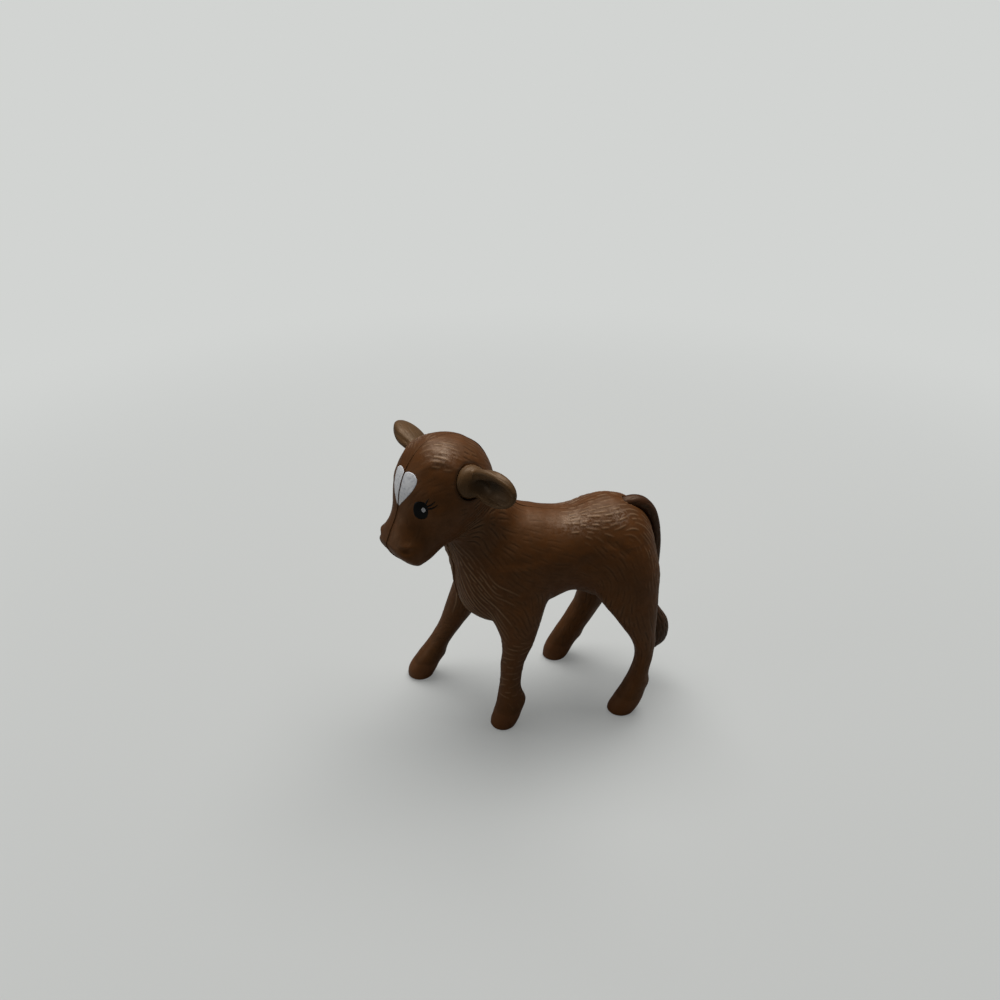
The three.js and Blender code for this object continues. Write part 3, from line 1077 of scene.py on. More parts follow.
def add_node(tree: NodeTree, kind: str, inputs: dict | None = None, **settings: str) -> bpy.types.Node:
    """Adds a node to a tree.

    Args:
        tree: The tree.
        kind: The node's type name.
        inputs: What its sockets take, by name or number.
        **settings: Values for its own settings.

    Returns:
        The node.
    """
    node = tree.nodes.new(kind)
    for name, value in settings.items():
        setattr(node, name, value)
    plug(tree, node, inputs or {})
    return node


def new_material(name: str) -> tuple[Material, NodeTree, NodeSocket]:
    """Starts a material.

    Args:
        name: Its name.

    Returns:
        The material, its tree and the place of each point in the object, in metres.
    """
    material = bpy.data.materials.new(name)
    material.use_nodes = True
    place = add_node(material.node_tree, "ShaderNodeTexCoord").outputs["Object"]
    return material, material.node_tree, place


@dataclass(frozen=True)
class Pattern:
    """A noise pattern, and how it is turned to a share: none up to one value, the most from another."""

    size: float
    detail: float
    roughness: float
    low: float = 0.0
    high: float = 1.0
    most: float = 1.0
    distortion: float = 0.0


# Clouds and a mottle of darker paint come from spraying by hand, and are 9 mm and 1.6 mm wide.
# Specks that break up the painted highlights are 0.75 mm wide. The fine grain of the mould, 0.22 mm wide,
# only shows in the shine.
PATTERNS = {
    "cloud": Pattern(size=9.0, detail=3.0, roughness=0.55, low=0.3, high=0.7, most=0.35),
    "mottle": Pattern(size=1.6, detail=4.0, roughness=0.6, low=0.35, high=0.7, most=0.3),
    "speck": Pattern(size=0.75, detail=3.0, roughness=0.65, low=0.44, high=0.6, most=0.6, distortion=1.2),
    "grain": Pattern(size=0.22, detail=2.0, roughness=0.5),
}


@dataclass(frozen=True)
class PaintedVinyl:
    """Moulded vinyl with a satin sprayed coat and a faint mottle, with painted shade in the strokes and
    painted highlights on the ridges.

    The mesh brings its own values, from 0 to 1: the groove and the ridge of each stroke, which get painted
    shade and a painted highlight, where another tint or painted shade is sprayed on, and where a painted
    highlight lies and the coat is polished.
    """

    name: str
    tone: str
    shade: str
    # The ridges' tone: partly paler paint, partly a painted highlight where the ridges catch the light
    ridge: str
    # The hooves' own tint, and on the ears the painted shade of the hollows
    tint: str
    # The tone of the painted highlights on the crown and the loin
    highlight_and_streak: str = "#a08672"
    # The tone of the painted shade in the grooves and between raised strands
    groove_shade_tone: str = "#201208"
    ridge_cover: float = 0.6
    groove_cover: float = 0.75
    roughness: float = 0.5
    unevenness: tuple[float, float] = (-0.07, 0.1)
    polish: float = 0.14
    gloss: float = 0.45
    sheen_tone: str = "#f0d4b4"

    def material(self) -> Material:
        """Builds the material."""
        material, tree, place = new_material(self.name)
        value: dict[str, NodeSocket] = {}
        share: dict[str, NodeSocket] = {}
        for name, pattern in PATTERNS.items():
            inputs = {"Vector": place, "Scale": per_metre(pattern.size), "Detail": pattern.detail}
            inputs |= {"Roughness": pattern.roughness, "Distortion": pattern.distortion}
            value[name] = add_node(tree, "ShaderNodeTexNoise", inputs).outputs["Fac"]
        for name in ("cloud", "mottle", "speck"):
            inputs = {"Value": value[name], "From Min": PATTERNS[name].low, "From Max": PATTERNS[name].high}
            inputs["To Max"] = PATTERNS[name].most
            share[name] = add_node(tree, "ShaderNodeMapRange", inputs).outputs["Result"]
        for name in ("groove", "ridge", "tint", "highlight_and_polish"):
            value[name] = add_node(tree, "ShaderNodeAttribute", attribute_name=name).outputs["Fac"]
        products = (
            ("ridge", "ridge", self.ridge_cover),
            ("groove", "groove", self.groove_cover),
            ("highlight_and_streak", "highlight_and_polish", share["speck"]),
            ("polish", "highlight_and_polish", self.polish),
        )
        for name, source, factor in products:
            inputs = {0: value[source], 1: factor}
            share[name] = add_node(tree, "ShaderNodeMath", inputs, operation="MULTIPLY").outputs[0]
        # The grooves get painted shade, the ridges paler paint and a painted highlight, the crown and the
        # loin painted highlights; the clouds, the mottle and the hooves' tint are the coat's own colour, and
        # on the ears the tint is painted shade in the hollows
        coats = (
            (share["cloud"], self.shade),
            (share["mottle"], self.shade),
            (value["tint"], self.tint),
            (share["ridge"], self.ridge),
            (share["highlight_and_streak"], self.highlight_and_streak),
            (share["groove"], self.groove_shade_tone),
        )
        colour = linear(self.tone)
        for factor, tone in coats:
            inputs = {"Factor": factor, 6: colour, 7: linear(tone)}
            colour = add_node(tree, "ShaderNodeMix", inputs, data_type="RGBA").outputs[2]
        smoothest, roughest = (self.roughness + change for change in self.unevenness)
        inputs = {"Value": value["mottle"], "From Min": 0.3, "From Max": 0.7}
        inputs |= {"To Min": smoothest, "To Max": roughest}
        rough = add_node(tree, "ShaderNodeMapRange", inputs).outputs["Result"]
        inputs = {0: rough, 1: share["polish"]}
        rough = add_node(tree, "ShaderNodeMath", inputs, operation="SUBTRACT").outputs[0]
        inputs = {"Height": value["grain"], "Strength": 0.25, "Distance": 0.02 * MM}
        fine = add_node(tree, "ShaderNodeBump", inputs).outputs["Normal"]
        inputs = {"Height": value["mottle"], "Strength": 0.6, "Distance": 0.08 * MM, "Normal": fine}
        bump = add_node(tree, "ShaderNodeBump", inputs).outputs["Normal"]
        inputs = {"Base Color": colour, "Roughness": rough, "Normal": bump, "IOR": 1.5}
        inputs |= {"Specular IOR Level": self.gloss, "Specular Tint": linear(self.sheen_tone)}
        plug(tree, tree.nodes["Principled BSDF"], inputs)
        return material


# The body is vinyl moulded brown and sprayed with a satin coat. The strokes are darkened with painted shade,
# the raised strands are lightened with paler paint and a painted highlight, and the crown and the loin carry
# painted highlights.
BODY_VINYL = PaintedVinyl(
    name="brown painted vinyl", tone="#633813", shade="#321e0b", ridge="#a08060", tint="#633a1a"
)
# The tail has a darker coat of the same kind, so it stands out against the rump.
TAIL_VINYL = PaintedVinyl(
    name="dark brown painted vinyl", tone="#462510", shade="#25150a", ridge="#775941", tint="#462510"
)
# The ears are moulded of a greyer vinyl and are a little smoother. Their hollows are darkened with painted
# shade.
EAR_VINYL = PaintedVinyl(
    name="greyish brown vinyl",
    tone="#64472a",
    shade="#362818",
    ridge="#8e7253",
    tint="#23180d",
    roughness=0.45,
)


@dataclass(frozen=True)
class Paint:
    """Brushed acrylic paint, with a faint unevenness from the brush."""

    name: str
    tone: str
    thin: str
    roughness: float
    gloss: float = 0.3
    streak: float = 0.7

    def material(self) -> Material:
        """Builds the material."""
        material, tree, place = new_material(self.name)
        inputs = {"Vector": place, "Scale": per_metre(self.streak), "Detail": 3.0, "Roughness": 0.6}
        streak = add_node(tree, "ShaderNodeTexNoise", inputs).outputs["Fac"]
        inputs = {"Value": streak, "From Min": 0.45, "From Max": 0.75}
        highlight_and_streak = add_node(tree, "ShaderNodeMapRange", inputs).outputs["Result"]
        inputs = {"Factor": highlight_and_streak, 6: linear(self.tone), 7: linear(self.thin)}
        colour = add_node(tree, "ShaderNodeMix", inputs, data_type="RGBA").outputs[2]
        inputs = {"Height": streak, "Strength": 0.5, "Distance": 0.03 * MM}
        bump = add_node(tree, "ShaderNodeBump", inputs).outputs["Normal"]
        inputs = {"Base Color": colour, "Roughness": self.roughness, "Normal": bump, "IOR": 1.5}
        inputs["Specular IOR Level"] = self.gloss
        plug(tree, tree.nodes["Principled BSDF"], inputs)
        return material


# The eyes are dipped in gloss enamel with a pale dot for a glint, and the mark is brushed on
# with dull acrylic, so it looks chalky beside the satin skin.
PAINTS = {
    "eye": Paint(name="black gloss enamel", tone="#060505", thin="#0c0a09", roughness=0.25, gloss=0.15),
    "glint": Paint(name="grey enamel dot", tone="#c6c5c7", thin="#99989a", roughness=0.3),
    "mark": Paint(name="off-white acrylic", tone="#ededee", thin="#c9cbd0", roughness=0.5),
}


# The calf


@dataclass
class Calf:
    """What the pieces share: the head's place, the ears' places and the parting line."""

    head_turn: float = 29.0
    neck_x: float = -12.0
    socket_centre: Triple = (-9.2, 0.0, 64.8)
    socket_radii: Triple = (12.0, 9.3, 11.3)
    ear_behind: float = 2.4
    ear_above: float = 3.7
    ear_rise: float = 2.0
    ear_turns: dict[Side, float] = field(default_factory=lambda: {Side.LEFT: -4.0, Side.RIGHT: -62.0})

    def __post_init__(self) -> None:
        """Works out the places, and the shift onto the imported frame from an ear's joint."""
        self.head = Place(turned(2, self.head_turn), np.array([self.neck_x, 0.0, 0.0]))
        self.line = PartingLine(self.neck_x, self.head_turn)
        joint = next(row for row in frame["joints"] if row["name"] == "left_ear_turn")
        self.shift = np.array(joint["pos_m"]) / MM - self.socket(Side.LEFT).origin

    def socket(self, side: Side) -> Place:
        """Finds where an ear's stem leaves the egg that the skull is built on.

        Args:
            side: The ear's side.

        Returns:
            The socket's own frame: Z outwards along the stem, X backwards.
        """
        rise = math.radians(self.ear_rise)
        stem = np.array([0.0, side.value * math.cos(rise), math.sin(rise)])
        radii = np.array(self.socket_radii)
        start = np.array([self.ear_behind, 0.0, self.ear_above])
        begin, along = start / radii, stem / radii
        half = (begin @ along) / (along @ along)
        reach = math.sqrt(half**2 + (1 - begin @ begin) / (along @ along)) - half
        origin = np.array(self.socket_centre) + start + reach * stem
        backwards = np.array([1.0, 0.0, 0.0])
        basis = np.column_stack([backwards, np.cross(stem, backwards), stem])
        return self.head.then(Place(basis, origin))

    def ear(self, side: Side) -> Place:
        """An ear's own frame: the socket's, turned as the ear is set."""
        return self.socket(side).then(Place(turned(2, self.ear_turns[side])))


TAIL_LINE: Table = (
    (19.6, 0, 50.6, 1.3, 1.3),
    (21.4, 0, 52.6, 1.3, 1.4),
    (23.6, 0, 54, 1.4, 1.6),
    (26.4, 0, 53.6, 1.5, 1.7),
    (28.8, 0, 51.4, 1.4, 1.6),
    (30.3, 0, 48, 1.3, 1.4),
    (31.3, 0, 42.6, 1.3, 1.3),
    (31.6, 0, 36.2, 1.3, 1.3),
    (31.5, 0, 29.2, 1.3, 1.3),
    (31.8, 0, 24.2, 1.4, 1.5),
    (33, 0, 20.6, 2.2, 2.4),
    (34.4, 0, 16.8, 3, 3),
    (34.8, 0, 12.8, 2.7, 2.6),
    (34.2, 0, 9.9, 1.3, 1.3),
)


# Soft forms on both sides of the head, in its own frame: the muzzle, the hollow of the cheek, a
# nostril with its rim, the brow and the cheekbone
HEAD_FORMS = (
    Swelling((-20.4, 4.6, 55.4), (2.6, 2.4, 2.4), 0.5),
    Swelling((-17.2, 5.6, 60.6), (3.0, 2.4, 3.4), -0.5),
    Swelling((-20.6, 4.8, 56.2), (0.9, 0.9, 0.5), -0.6),
    Swelling((-20.3, 4.8, 57.1), (1.4, 1.4, 0.7), 0.35),
    Swelling((-15.0, 6.6, 67.8), (2.2, 1.6, 1.6), 0.25),
    Swelling((-14.6, 7.2, 63.2), (2.0, 1.6, 2.2), 0.3),
)
FOREHEAD = Swelling((-17.8, 0.0, 67.6), (3.4, 5.0, 5.0), 0.5)
# On both sides of the trunk: the shoulder, the haunch, the hollow of the flank and the belly
TRUNK_FORMS = (
    Swelling((-7.0, 10.4, 46.0), (4.6, 3.0, 7.0), 0.2),
    Swelling((24.0, 10.4, 40.0), (5.0, 3.0, 7.0), 0.2),
    Swelling((12.2, 9.2, 44.7), (2.0, 2.4, 1.8), -0.45),
    Swelling((3.4, 7.4, 33.4), (5.0, 3.0, 3.0), 0.3),
)
# On one leg each: fetlock, knee and forearm of the left foreleg, hock and fetlock of the left hind
# leg, fetlock of the right foreleg, and fetlock and hock of the right hind leg
LEG_FORMS = (
    Swelling((-2.6, -10.3, 7.6), (1.5, 2.2, 2.0), 0.5),
    Swelling((-7.4, -10.3, 18.6), (1.6, 2.2, 2.6), 0.25),
    Swelling((-8.4, -8.6, 30.5), (2.6, 3.0, 3.4), 0.8),
    Swelling((28.9, -10.8, 21.3), (1.5, 2.2, 2.2), 0.4),
    Swelling((28.8, -11.0, 9.0), (1.5, 2.2, 2.0), 0.6),
    Swelling((-19.2, 10.4, 6.6), (1.6, 2.2, 2.0), 0.5),
    Swelling((18.2, 11.0, 6.6), (1.6, 2.2, 2.0), 0.6),
    Swelling((23.6, 10.8, 20.6), (1.5, 2.2, 2.4), 0.4),
)
HAIRLINE = Crease(
    ((-15.6, 3.1, 71.6), (-14.3, 3.9, 72.8), (-12.5, 4.9, 73.7), (-10.8, 6.0, 73.5), (-9.7, 7.2, 72.1)),
    radius=0.8,
    rise=0.22,
)
FLANK_FOLD = Crease(
    ((15.6, 9.3, 50.0), (17.6, 9.5, 49.0), (19.6, 9.9, 47.6), (21.6, 10.4, 46.1)), radius=0.9, rise=-0.25
)

# On both sides of the trunk. The strands on the breast are raised and fan out to the rear.
BODY_HAIR: tuple[Hair, ...] = (
    Hair((-17.6, -4, 43), (0.15, -0.1, -1), 16, 0.6, -0.16, 1.0),
    Hair((-17, -4, 51), (0.35, -0.2, -0.9), 16, 0.6, -0.16, 1.0),
    Hair((-16, -5.5, 39), (0.4, -0.2, -0.9), 16, 0.6, -0.15, 1.0),
    Hair((-12.5, -8, 44), (0.6, -0.2, -0.75), 14, 0.65, -0.14, 1.0),
    Hair((-10.5, -9, 39.5), (0.7, -0.1, -0.65), 12, 0.65, -0.13, 1.0),
    Hair((-14, -7, 36), (0.55, -0.2, -0.8), 14, 0.65, -0.14, 1.0),
    Hair((-9, -8.5, 32), (0.7, -0.1, -0.65), 10, 0.75, -0.12, 0.95),
    Hair((-7, -10, 38.5), (0.92, 0, -0.35), 7, 0.8, 0.1, 0.9),
    Hair((-5, -10, 32), (0.7, 0, -0.7), 7, 0.8, 0.1, 0.9),
    Hair((-9.7, -8, 52.8), (0.5, 0, -0.8), 5, 0.9, 0.1, 0.8),
    Hair((-7, -10, 46), (0.6, 0, -0.75), 6, 1.0, 0.06, 0.7),
    Hair((-4, -5, 54), (0.9, 0, -0.4), 4, 1.1, 0.05, 0.6),
    Hair((5, -5, 52), (1, 0, -0.15), 4, 1.2, 0.05, 0.6),
    Hair((9.5, -4.5, 53), (1, 0.1, -0.15), 2.5, 0.75, -0.12, 1.0),
    Hair((15, -5.5, 53), (0.9, 0, -0.4), 3, 0.8, -0.11, 1.0),
    Hair((20, -5.5, 54), (0.8, 0, 0.5), 4, 0.9, -0.11, 0.9),
    Hair((3, -9.5, 42), (0.95, 0, -0.35), 6, 1.2, 0.04, 0.6),
    Hair((8, -9.5, 43), (0.95, 0, -0.35), 6, 1.2, 0.04, 0.6),
    Hair((6, -6, 34), (1, 0, -0.1), 5, 1.0, 0.07, 0.7),
    Hair((16, -10.5, 48), (0.7, 0, -0.7), 5, 1.0, 0.1, 0.9),
    Hair((23, -10.5, 42), (0.3, 0, -0.95), 6, 1.1, 0.05, 0.7),
    Hair((27.3, -5.3, 49.2), (0.5, -0.1, -0.85), 12, 0.7, -0.09, 1.0),
    Hair((28.4, -7.1, 44.8), (0.15, -0.1, -0.97), 14, 0.7, -0.1, 1.0),
    Hair((28.1, -9.9, 39.9), (0, -0.1, -1), 14, 0.7, -0.08, 1.0),
    Hair((29, -3, 38), (0.1, 0.1, -1), 12, 0.8, 0.1, 1.0),
    Hair((19, -10.8, 34), (-0.2, 0, -0.97), 6, 0.9, 0.09, 0.85),
)
# On the legs, which differ from side to side. The left foreleg has raised strands across it, and
# the hooves are plain.
LEG_HAIR: tuple[Hair, ...] = (
    Hair((0.3, -9, 36), (-0.1, 0, -1), 6, 0.8, 0.09, 0.9),
    Hair((-3, -10, 30), (0.1, 0, -1), 5, 0.8, 0.1, 0.9),
    Hair((-4, -10.3, 26), (1, 0, 0.1), 6, 1.0, -0.15, 1.0),
    Hair((-4, -10.3, 21), (1, 0, 0.1), 6, 1.1, -0.13, 1.0),
    Hair((-5, -10.3, 15), (1, 0, 0.15), 5, 1.2, -0.1, 0.8),
    Hair((-7, -10.3, 3), (0, 0, -1), 2, 1.4, 0.03, 0.0),
    Hair((25, -10, 27), (0.3, 0, -0.95), 6, 0.8, 0.1, 0.85),
    Hair((27, -11, 15), (-0.1, 0, -1), 3, 1.2, 0.05, 0.4),
    Hair((23.5, -11, 3), (0, 0, -1), 2, 1.4, 0.03, 0.0),
    Hair((-9, 9, 33), (-0.4, 0, -0.9), 5, 0.8, 0.1, 0.8),
    Hair((-13, 10, 24), (-0.4, 0, -0.9), 4, 1.0, 0.08, 0.7),
    Hair((-18, 10.3, 14), (0.9, 0, 0.3), 3, 1.3, 0.06, 0.5),
    Hair((-24.6, 10.4, 3), (0, 0, -1), 2, 1.4, 0.03, 0.0),
    Hair((21, 10, 27), (0.1, 0, -1), 6, 0.8, 0.1, 0.85),
    Hair((18, 11, 14), (-0.5, 0, -0.9), 3, 1.2, 0.05, 0.4),
    Hair((11.8, 11, 3), (0, 0, -1), 2, 1.4, 0.03, 0.0),
)
# On both sides of the head, in its own frame. The face is left plain.
HEAD_HAIR: tuple[Hair, ...] = (
    Hair((-10.4, -4.4, 74.8), (0.77, -0.6, -0.2), 3, 0.75, -0.12, 1.0),
    Hair((-6, -5, 75), (0.77, -0.5, -0.3), 3, 0.8, 0.1, 1.0),
    Hair((-17, -4, 70), (0.5, -0.5, 0.6), 3, 1.0, 0.04, 0.5),
    Hair((-9, -8.5, 68), (0.9, -0.1, -0.3), 4, 0.9, 0.04, 0.6),
    Hair((-14, -7, 66), (0.9, -0.3, 0.2), 4, 1.1, 0.03, 0.5),
    Hair((2, -5, 70), (0.8, -0.1, -0.6), 5, 0.9, 0.09, 0.9),
    Hair((-13, -7.6, 59), (0.8, 0, 0.5), 2, 1.2, 0.03, 0.05),
    Hair((-19, -4, 54), (0.8, 0, 0.5), 2, 1.4, 0.03, 0.0),
    Hair((-18, 0, 60), (0, 0, 1), 2, 1.2, 0.03, 0.1),
    Hair((-6.5, -5.5, 56), (0.9, -0.1, 0.45), 5, 0.7, 0.2, 1.0),
    Hair((-3.6, -7.1, 61.7), (0.9, -0.1, 0.45), 5, 0.7, 0.19, 1.0),
)


@dataclass
class BodyHalves:
    """Both moulded halves: head, neck, trunk and legs, parted along the middle.

    The trunk's rows are sections along X and the legs' are sections along Z. The neck's and the
    face's are those of a limb, the face's in the head's own frame.
    """

    calf: Calf
    grid: float = 0.48
    low: Triple = (-34.0, -14.5, -1.5)
    high: Triple = (33.0, 15.0, 78.0)
    seed: int = 7
    strand: float = 0.17
    seam_width: float = 0.1
    seam_snap: float = 0.01  # how near the cut a point may lie to be moved onto it
    lip: float = 0.15  # depth of the rounding along the seam
    back_lip: float = 0.04  # the same on the back and the crown, where the halves are rubbed flush
    lip_run: tuple[float, float] = (-9.0, -2.0)  # stretch of the seam over which it changes
    crown: tuple[float, float] = (71.0, 75.0)  # heights between which it changes on the head
    lip_rows: tuple[tuple[float, float], ...] = ((0.35, 0.35), (0.1, 1.0))
    bend_strips: int = 12
    strip_snap: float = 1e-5
    sharp_angle: float = 60.0
    socket_radius: float = 3.66
    socket_depth: float = 1.4
    socket_top: float = 4.0
    socket_sides: int = 96
    # Width of the painted shade round each ear socket
    ring_shade_width: float = 0.4
    tail_gap: float = 0.25
    hoof_top: float = 5.4
    hoof_fade: float = 0.6
    hoof_wave: tuple[float, float, int] = (0.35, 1.6, 3)  # height, size and seed of its wavy edge
    lumps: tuple[tuple[float, float, int], ...] = ((0.1, 5.0, 1), (0.05, 2.2, 2))
    lump_run: tuple[float, float] = (0.5, 3.0)  # heights over which they start, to keep the soles flat
    skull_centre: Triple = (-8.8, 0.0, 65.0)
    skull_front: float = 8.9
    skull_radii: Triple = (12.1, 9.3, 11.3)
    # Where painted highlights lie and the coat is polished: the loin here, the crown below
    loin_patches: tuple[tuple[Triple, Triple], ...] = (
        ((11.0, 4.6, 53.0), (5.0, 2.6, 2.0)),
        ((19.5, 5.4, 53.8), (2.6, 2.0, 1.6)),
    )
    crown_patch: tuple[Triple, Triple] = ((-10.2, 4.4, 74.8), (2.6, 2.4, 2.0))
    trunk: Table = (
        (-16.8, 0, 39.2, 3.0, 3.5),
        (-14.5, 0, 39.2, 7, 9),
        (-10, 0, 39.7, 9.5, 13),
        (-5, 0, 41.2, 10.6, 14.3),
        (0, 0, 42.4, 10.4, 12.9),
        (5, 0, 42.8, 10, 11.3),
        (10, 0, 43.4, 9.7, 10.4),
        (15, 0, 43.2, 10.3, 12.2),
        (20, 0, 42.4, 10.8, 13.3),
        (25, 0, 40.8, 10.2, 13),
        (28.2, 0, 39.4, 8.2, 10.8),
        (29.8, 0, 38, 5.6, 7.5),
        (30.6, 0, 37, 2.4, 3),
    )
    neck: Table = (
        (-4, 0, 40.2, 12, 8.6),
        (-7, 0, 45.2, 11, 8.6),
        (-9.8, 0, 50.2, 9.6, 8.2),
        (-12, -0.6, 54.8, 8.4, 7.8),
        (-14.2, -1.6, 58.6, 7.2, 7.4),
        (-16.4, -2.7, 62.2, 5, 6),
    )
    face: Table = (
        (-6.4, 0, 64.8, 10, 8.8),
        (-9.2, 0, 62, 9.5, 8.5),
        (-12.3, 0, 59.1, 8.1, 7.5),
        (-15, 0, 56.6, 6.7, 6.3),
        (-17.2, 0, 54.7, 5.8, 6.0),
        (-18.8, 0, 53.3, 4.7, 5.4),
    )
    left_front_leg: Table = (
        (45.2, -3, -5.4, 7, 4.4),
        (38.2, -2.8, -7.2, 6.4, 4.4),
        (32.2, -3.1, -8.8, 5.2, 4.2),
        (26.2, -3.6, -9.8, 3.9, 3.5),
        (19.7, -4.8, -10.2, 2.65, 2.8),
        (13.2, -5.5, -10.3, 2.5, 2.7),
        (7.2, -5.5, -10.3, 3.3, 3),
        (3.6, -6.2, -10.3, 3.4, 3.1),
        (1.2, -6.9, -10.3, 3.3, 3),
        (0, -7.2, -10.3, 3, 2.8),
    )
    right_front_leg: Table = (
        (44.2, -6, 5.6, 6.6, 4.4),
        (36.2, -8.4, 7.6, 5.8, 4.4),
        (29.2, -11.2, 9.2, 4.9, 3.9),
        (22.2, -14.0, 10, 4.2, 3.3),
        (16.2, -17.0, 10.3, 3.1, 2.8),
        (11.2, -19.9, 10.4, 2.8, 2.7),
        (6.7, -22.6, 10.4, 3.4, 3),
        (2.9, -24.6, 10.4, 3.7, 3.1),
        (1, -25.3, 10.4, 3.5, 3),
        (0, -25.5, 10.4, 3.2, 2.8),
    )
    left_hind_leg: Table = (
        (47.2, 19.8, -4.4, 5.6, 4.2),
        (41.2, 21.4, -6.8, 7.8, 4.6),
        (34.2, 22.6, -8.4, 7.1, 4.5),
        (28.2, 24.6, -9.6, 4.9, 4),
        (22.2, 26.4, -10.4, 2.8, 3.3),
        (17.2, 27.1, -10.8, 2.1, 2.8),
        (11.7, 26.4, -11, 2.2, 2.6),
        (7.2, 25.4, -11.1, 3, 2.8),
        (3.6, 24.1, -11.1, 3.6, 3),
        (1.2, 23, -11.1, 3.6, 3),
        (0, 22.6, -11.1, 3.3, 2.8),
    )
    right_hind_leg: Table = (
        (47.2, 18.8, 4.4, 5.6, 4.2),
        (40.2, 20, 7, 7.8, 4.6),
        (33.2, 20.6, 8.8, 6.8, 4.4),
        (26.2, 21.0, 10, 4.9, 3.8),
        (19.2, 20.0, 10.8, 4.0, 3.3),
        (13.2, 17.3, 11, 3.9, 3),
        (7.7, 14.2, 11, 3.8, 2.9),
        (3.6, 12.2, 11, 3.8, 2.9),
        (1.2, 11.4, 11, 3.5, 2.9),
        (0, 11, 11, 3.1, 2.7),
    )

    def block(self) -> Field:
        """All the plastic of both halves as one field."""
        head = self.calf.head
        parts = (
            (Sections(self.trunk, 0), 0.5),
            (Limb(self.neck), 2.0),
            (Egg(self.skull_centre, self.skull_radii, self.skull_front, place=head), 1.2),
            (Limb(self.face, cap=1.6, place=head), 1.6),
            (Sections(self.left_front_leg, 2), 2.0),
            (Sections(self.right_front_leg, 2), 2.0),
            (Sections(self.left_hind_leg, 2), 2.0),
            (Sections(self.right_hind_leg, 2), 2.0),
        )
        block = Field(np.array(self.low), np.array(self.high), self.grid)
        for form, blend in parts:
            block.add(form, blend)
        block.level()
        block.carve(Limb(grown(TAIL_LINE, self.tail_gap)), blend=0.2)
        return block

    def features(self) -> list[Swelling]:
        """The soft forms of the head, the body and the legs."""
        head = self.calf.head
        forms = [replace(FOREHEAD, place=head)]
        for sign in (side.value for side in Side):
            forms += [replace(form, centre=across(form.centre, sign), place=head) for form in HEAD_FORMS]
            forms += [replace(form, centre=across(form.centre, sign)) for form in TRUNK_FORMS]
            forms += HAIRLINE.swellings(head, sign) + FLANK_FOLD.swellings(Place(), sign)
        return forms + list(LEG_FORMS)

    def hair(self) -> Engraver:
        """The lie of the hair over the whole body."""
        rows = Engraver.of(with_mirrored(BODY_HAIR) + LEG_HAIR, self.seed, half_width=self.strand)
        return rows.also(Engraver.of(with_mirrored(HEAD_HAIR), self.seed, self.calf.head))

    def build(self) -> dict[Side, Object]:
        """Skins the field, engraves it and parts it.

        Returns:
            The two halves.
        """
        skin = Skin.of(self.block(), rounds=6, fine_rounds=2)
        skin.swell(self.features())
        self.skin = skin
        lumps = sum(height * noise_at(skin.points, size, seed) for height, size, seed in self.lumps)
        lumps *= smooth_step(skin.points[:, 2], *self.lump_run)
        skin.points += skin.normals() * lumps[:, None]
        groove, ridge = self.hair().engrave(skin)
        wave, size, seed = self.hoof_wave
        height = skin.points[:, 2] + wave * noise_at(skin.points, size, seed)
        # Painted shade in the grooves and round the ear sockets, a painted highlight on the ridges, the
        # crown and the loin, and the hooves' own tint
        tones = {
            "groove": np.maximum(groove, self._socket_shade(skin.points)),
            "ridge": ridge,
            "tint": 1 - smooth_step(height, self.hoof_top - self.hoof_fade, self.hoof_top),
            "highlight_and_polish": self._highlight_patches(skin.points),
        }
        log.info("body skin: %d faces", len(skin.quads))
        return {side: self._half(skin, tones, side) for side in Side}

    def _socket_shade(self, points: Array) -> Array:
        """Paints shade round the edges of the ear sockets, where the gap round each ear's disc lies in
        shadow.

        Args:
            points: Points of the skin.

        Returns:
            How dark each one is, from 0 to 1.
        """
        share = np.zeros(len(points))
        for side in Side:
            local = self.calf.socket(side).local(points)
            away = (np.hypot(local[:, 0], local[:, 1]) - self.socket_radius) / self.ring_shade_width
            share = np.maximum(share, np.exp(-(away**2)) * (np.abs(local[:, 2]) < self.socket_radius))
        return share

    def _highlight_patches(self, points: Array) -> Array:
        """Paints highlights on the crown and the loin, where the light from above falls.

        Args:
            points: Points of the skin.

        Returns:
            How strong the painted highlight is at each one, from 0 to 1, which also polishes the coat.
        """
        share = np.zeros(len(points))
        patches = [(self.calf.head, self.crown_patch), *((Place(), patch) for patch in self.loin_patches)]
        for place, (centre, radii) in patches:
            local = place.local(points)
            for side in Side:
                offset = (local - np.array(across(centre, side.value))) / np.array(radii)
                share = np.maximum(share, np.exp(-(offset**2).sum(-1)))
        return share

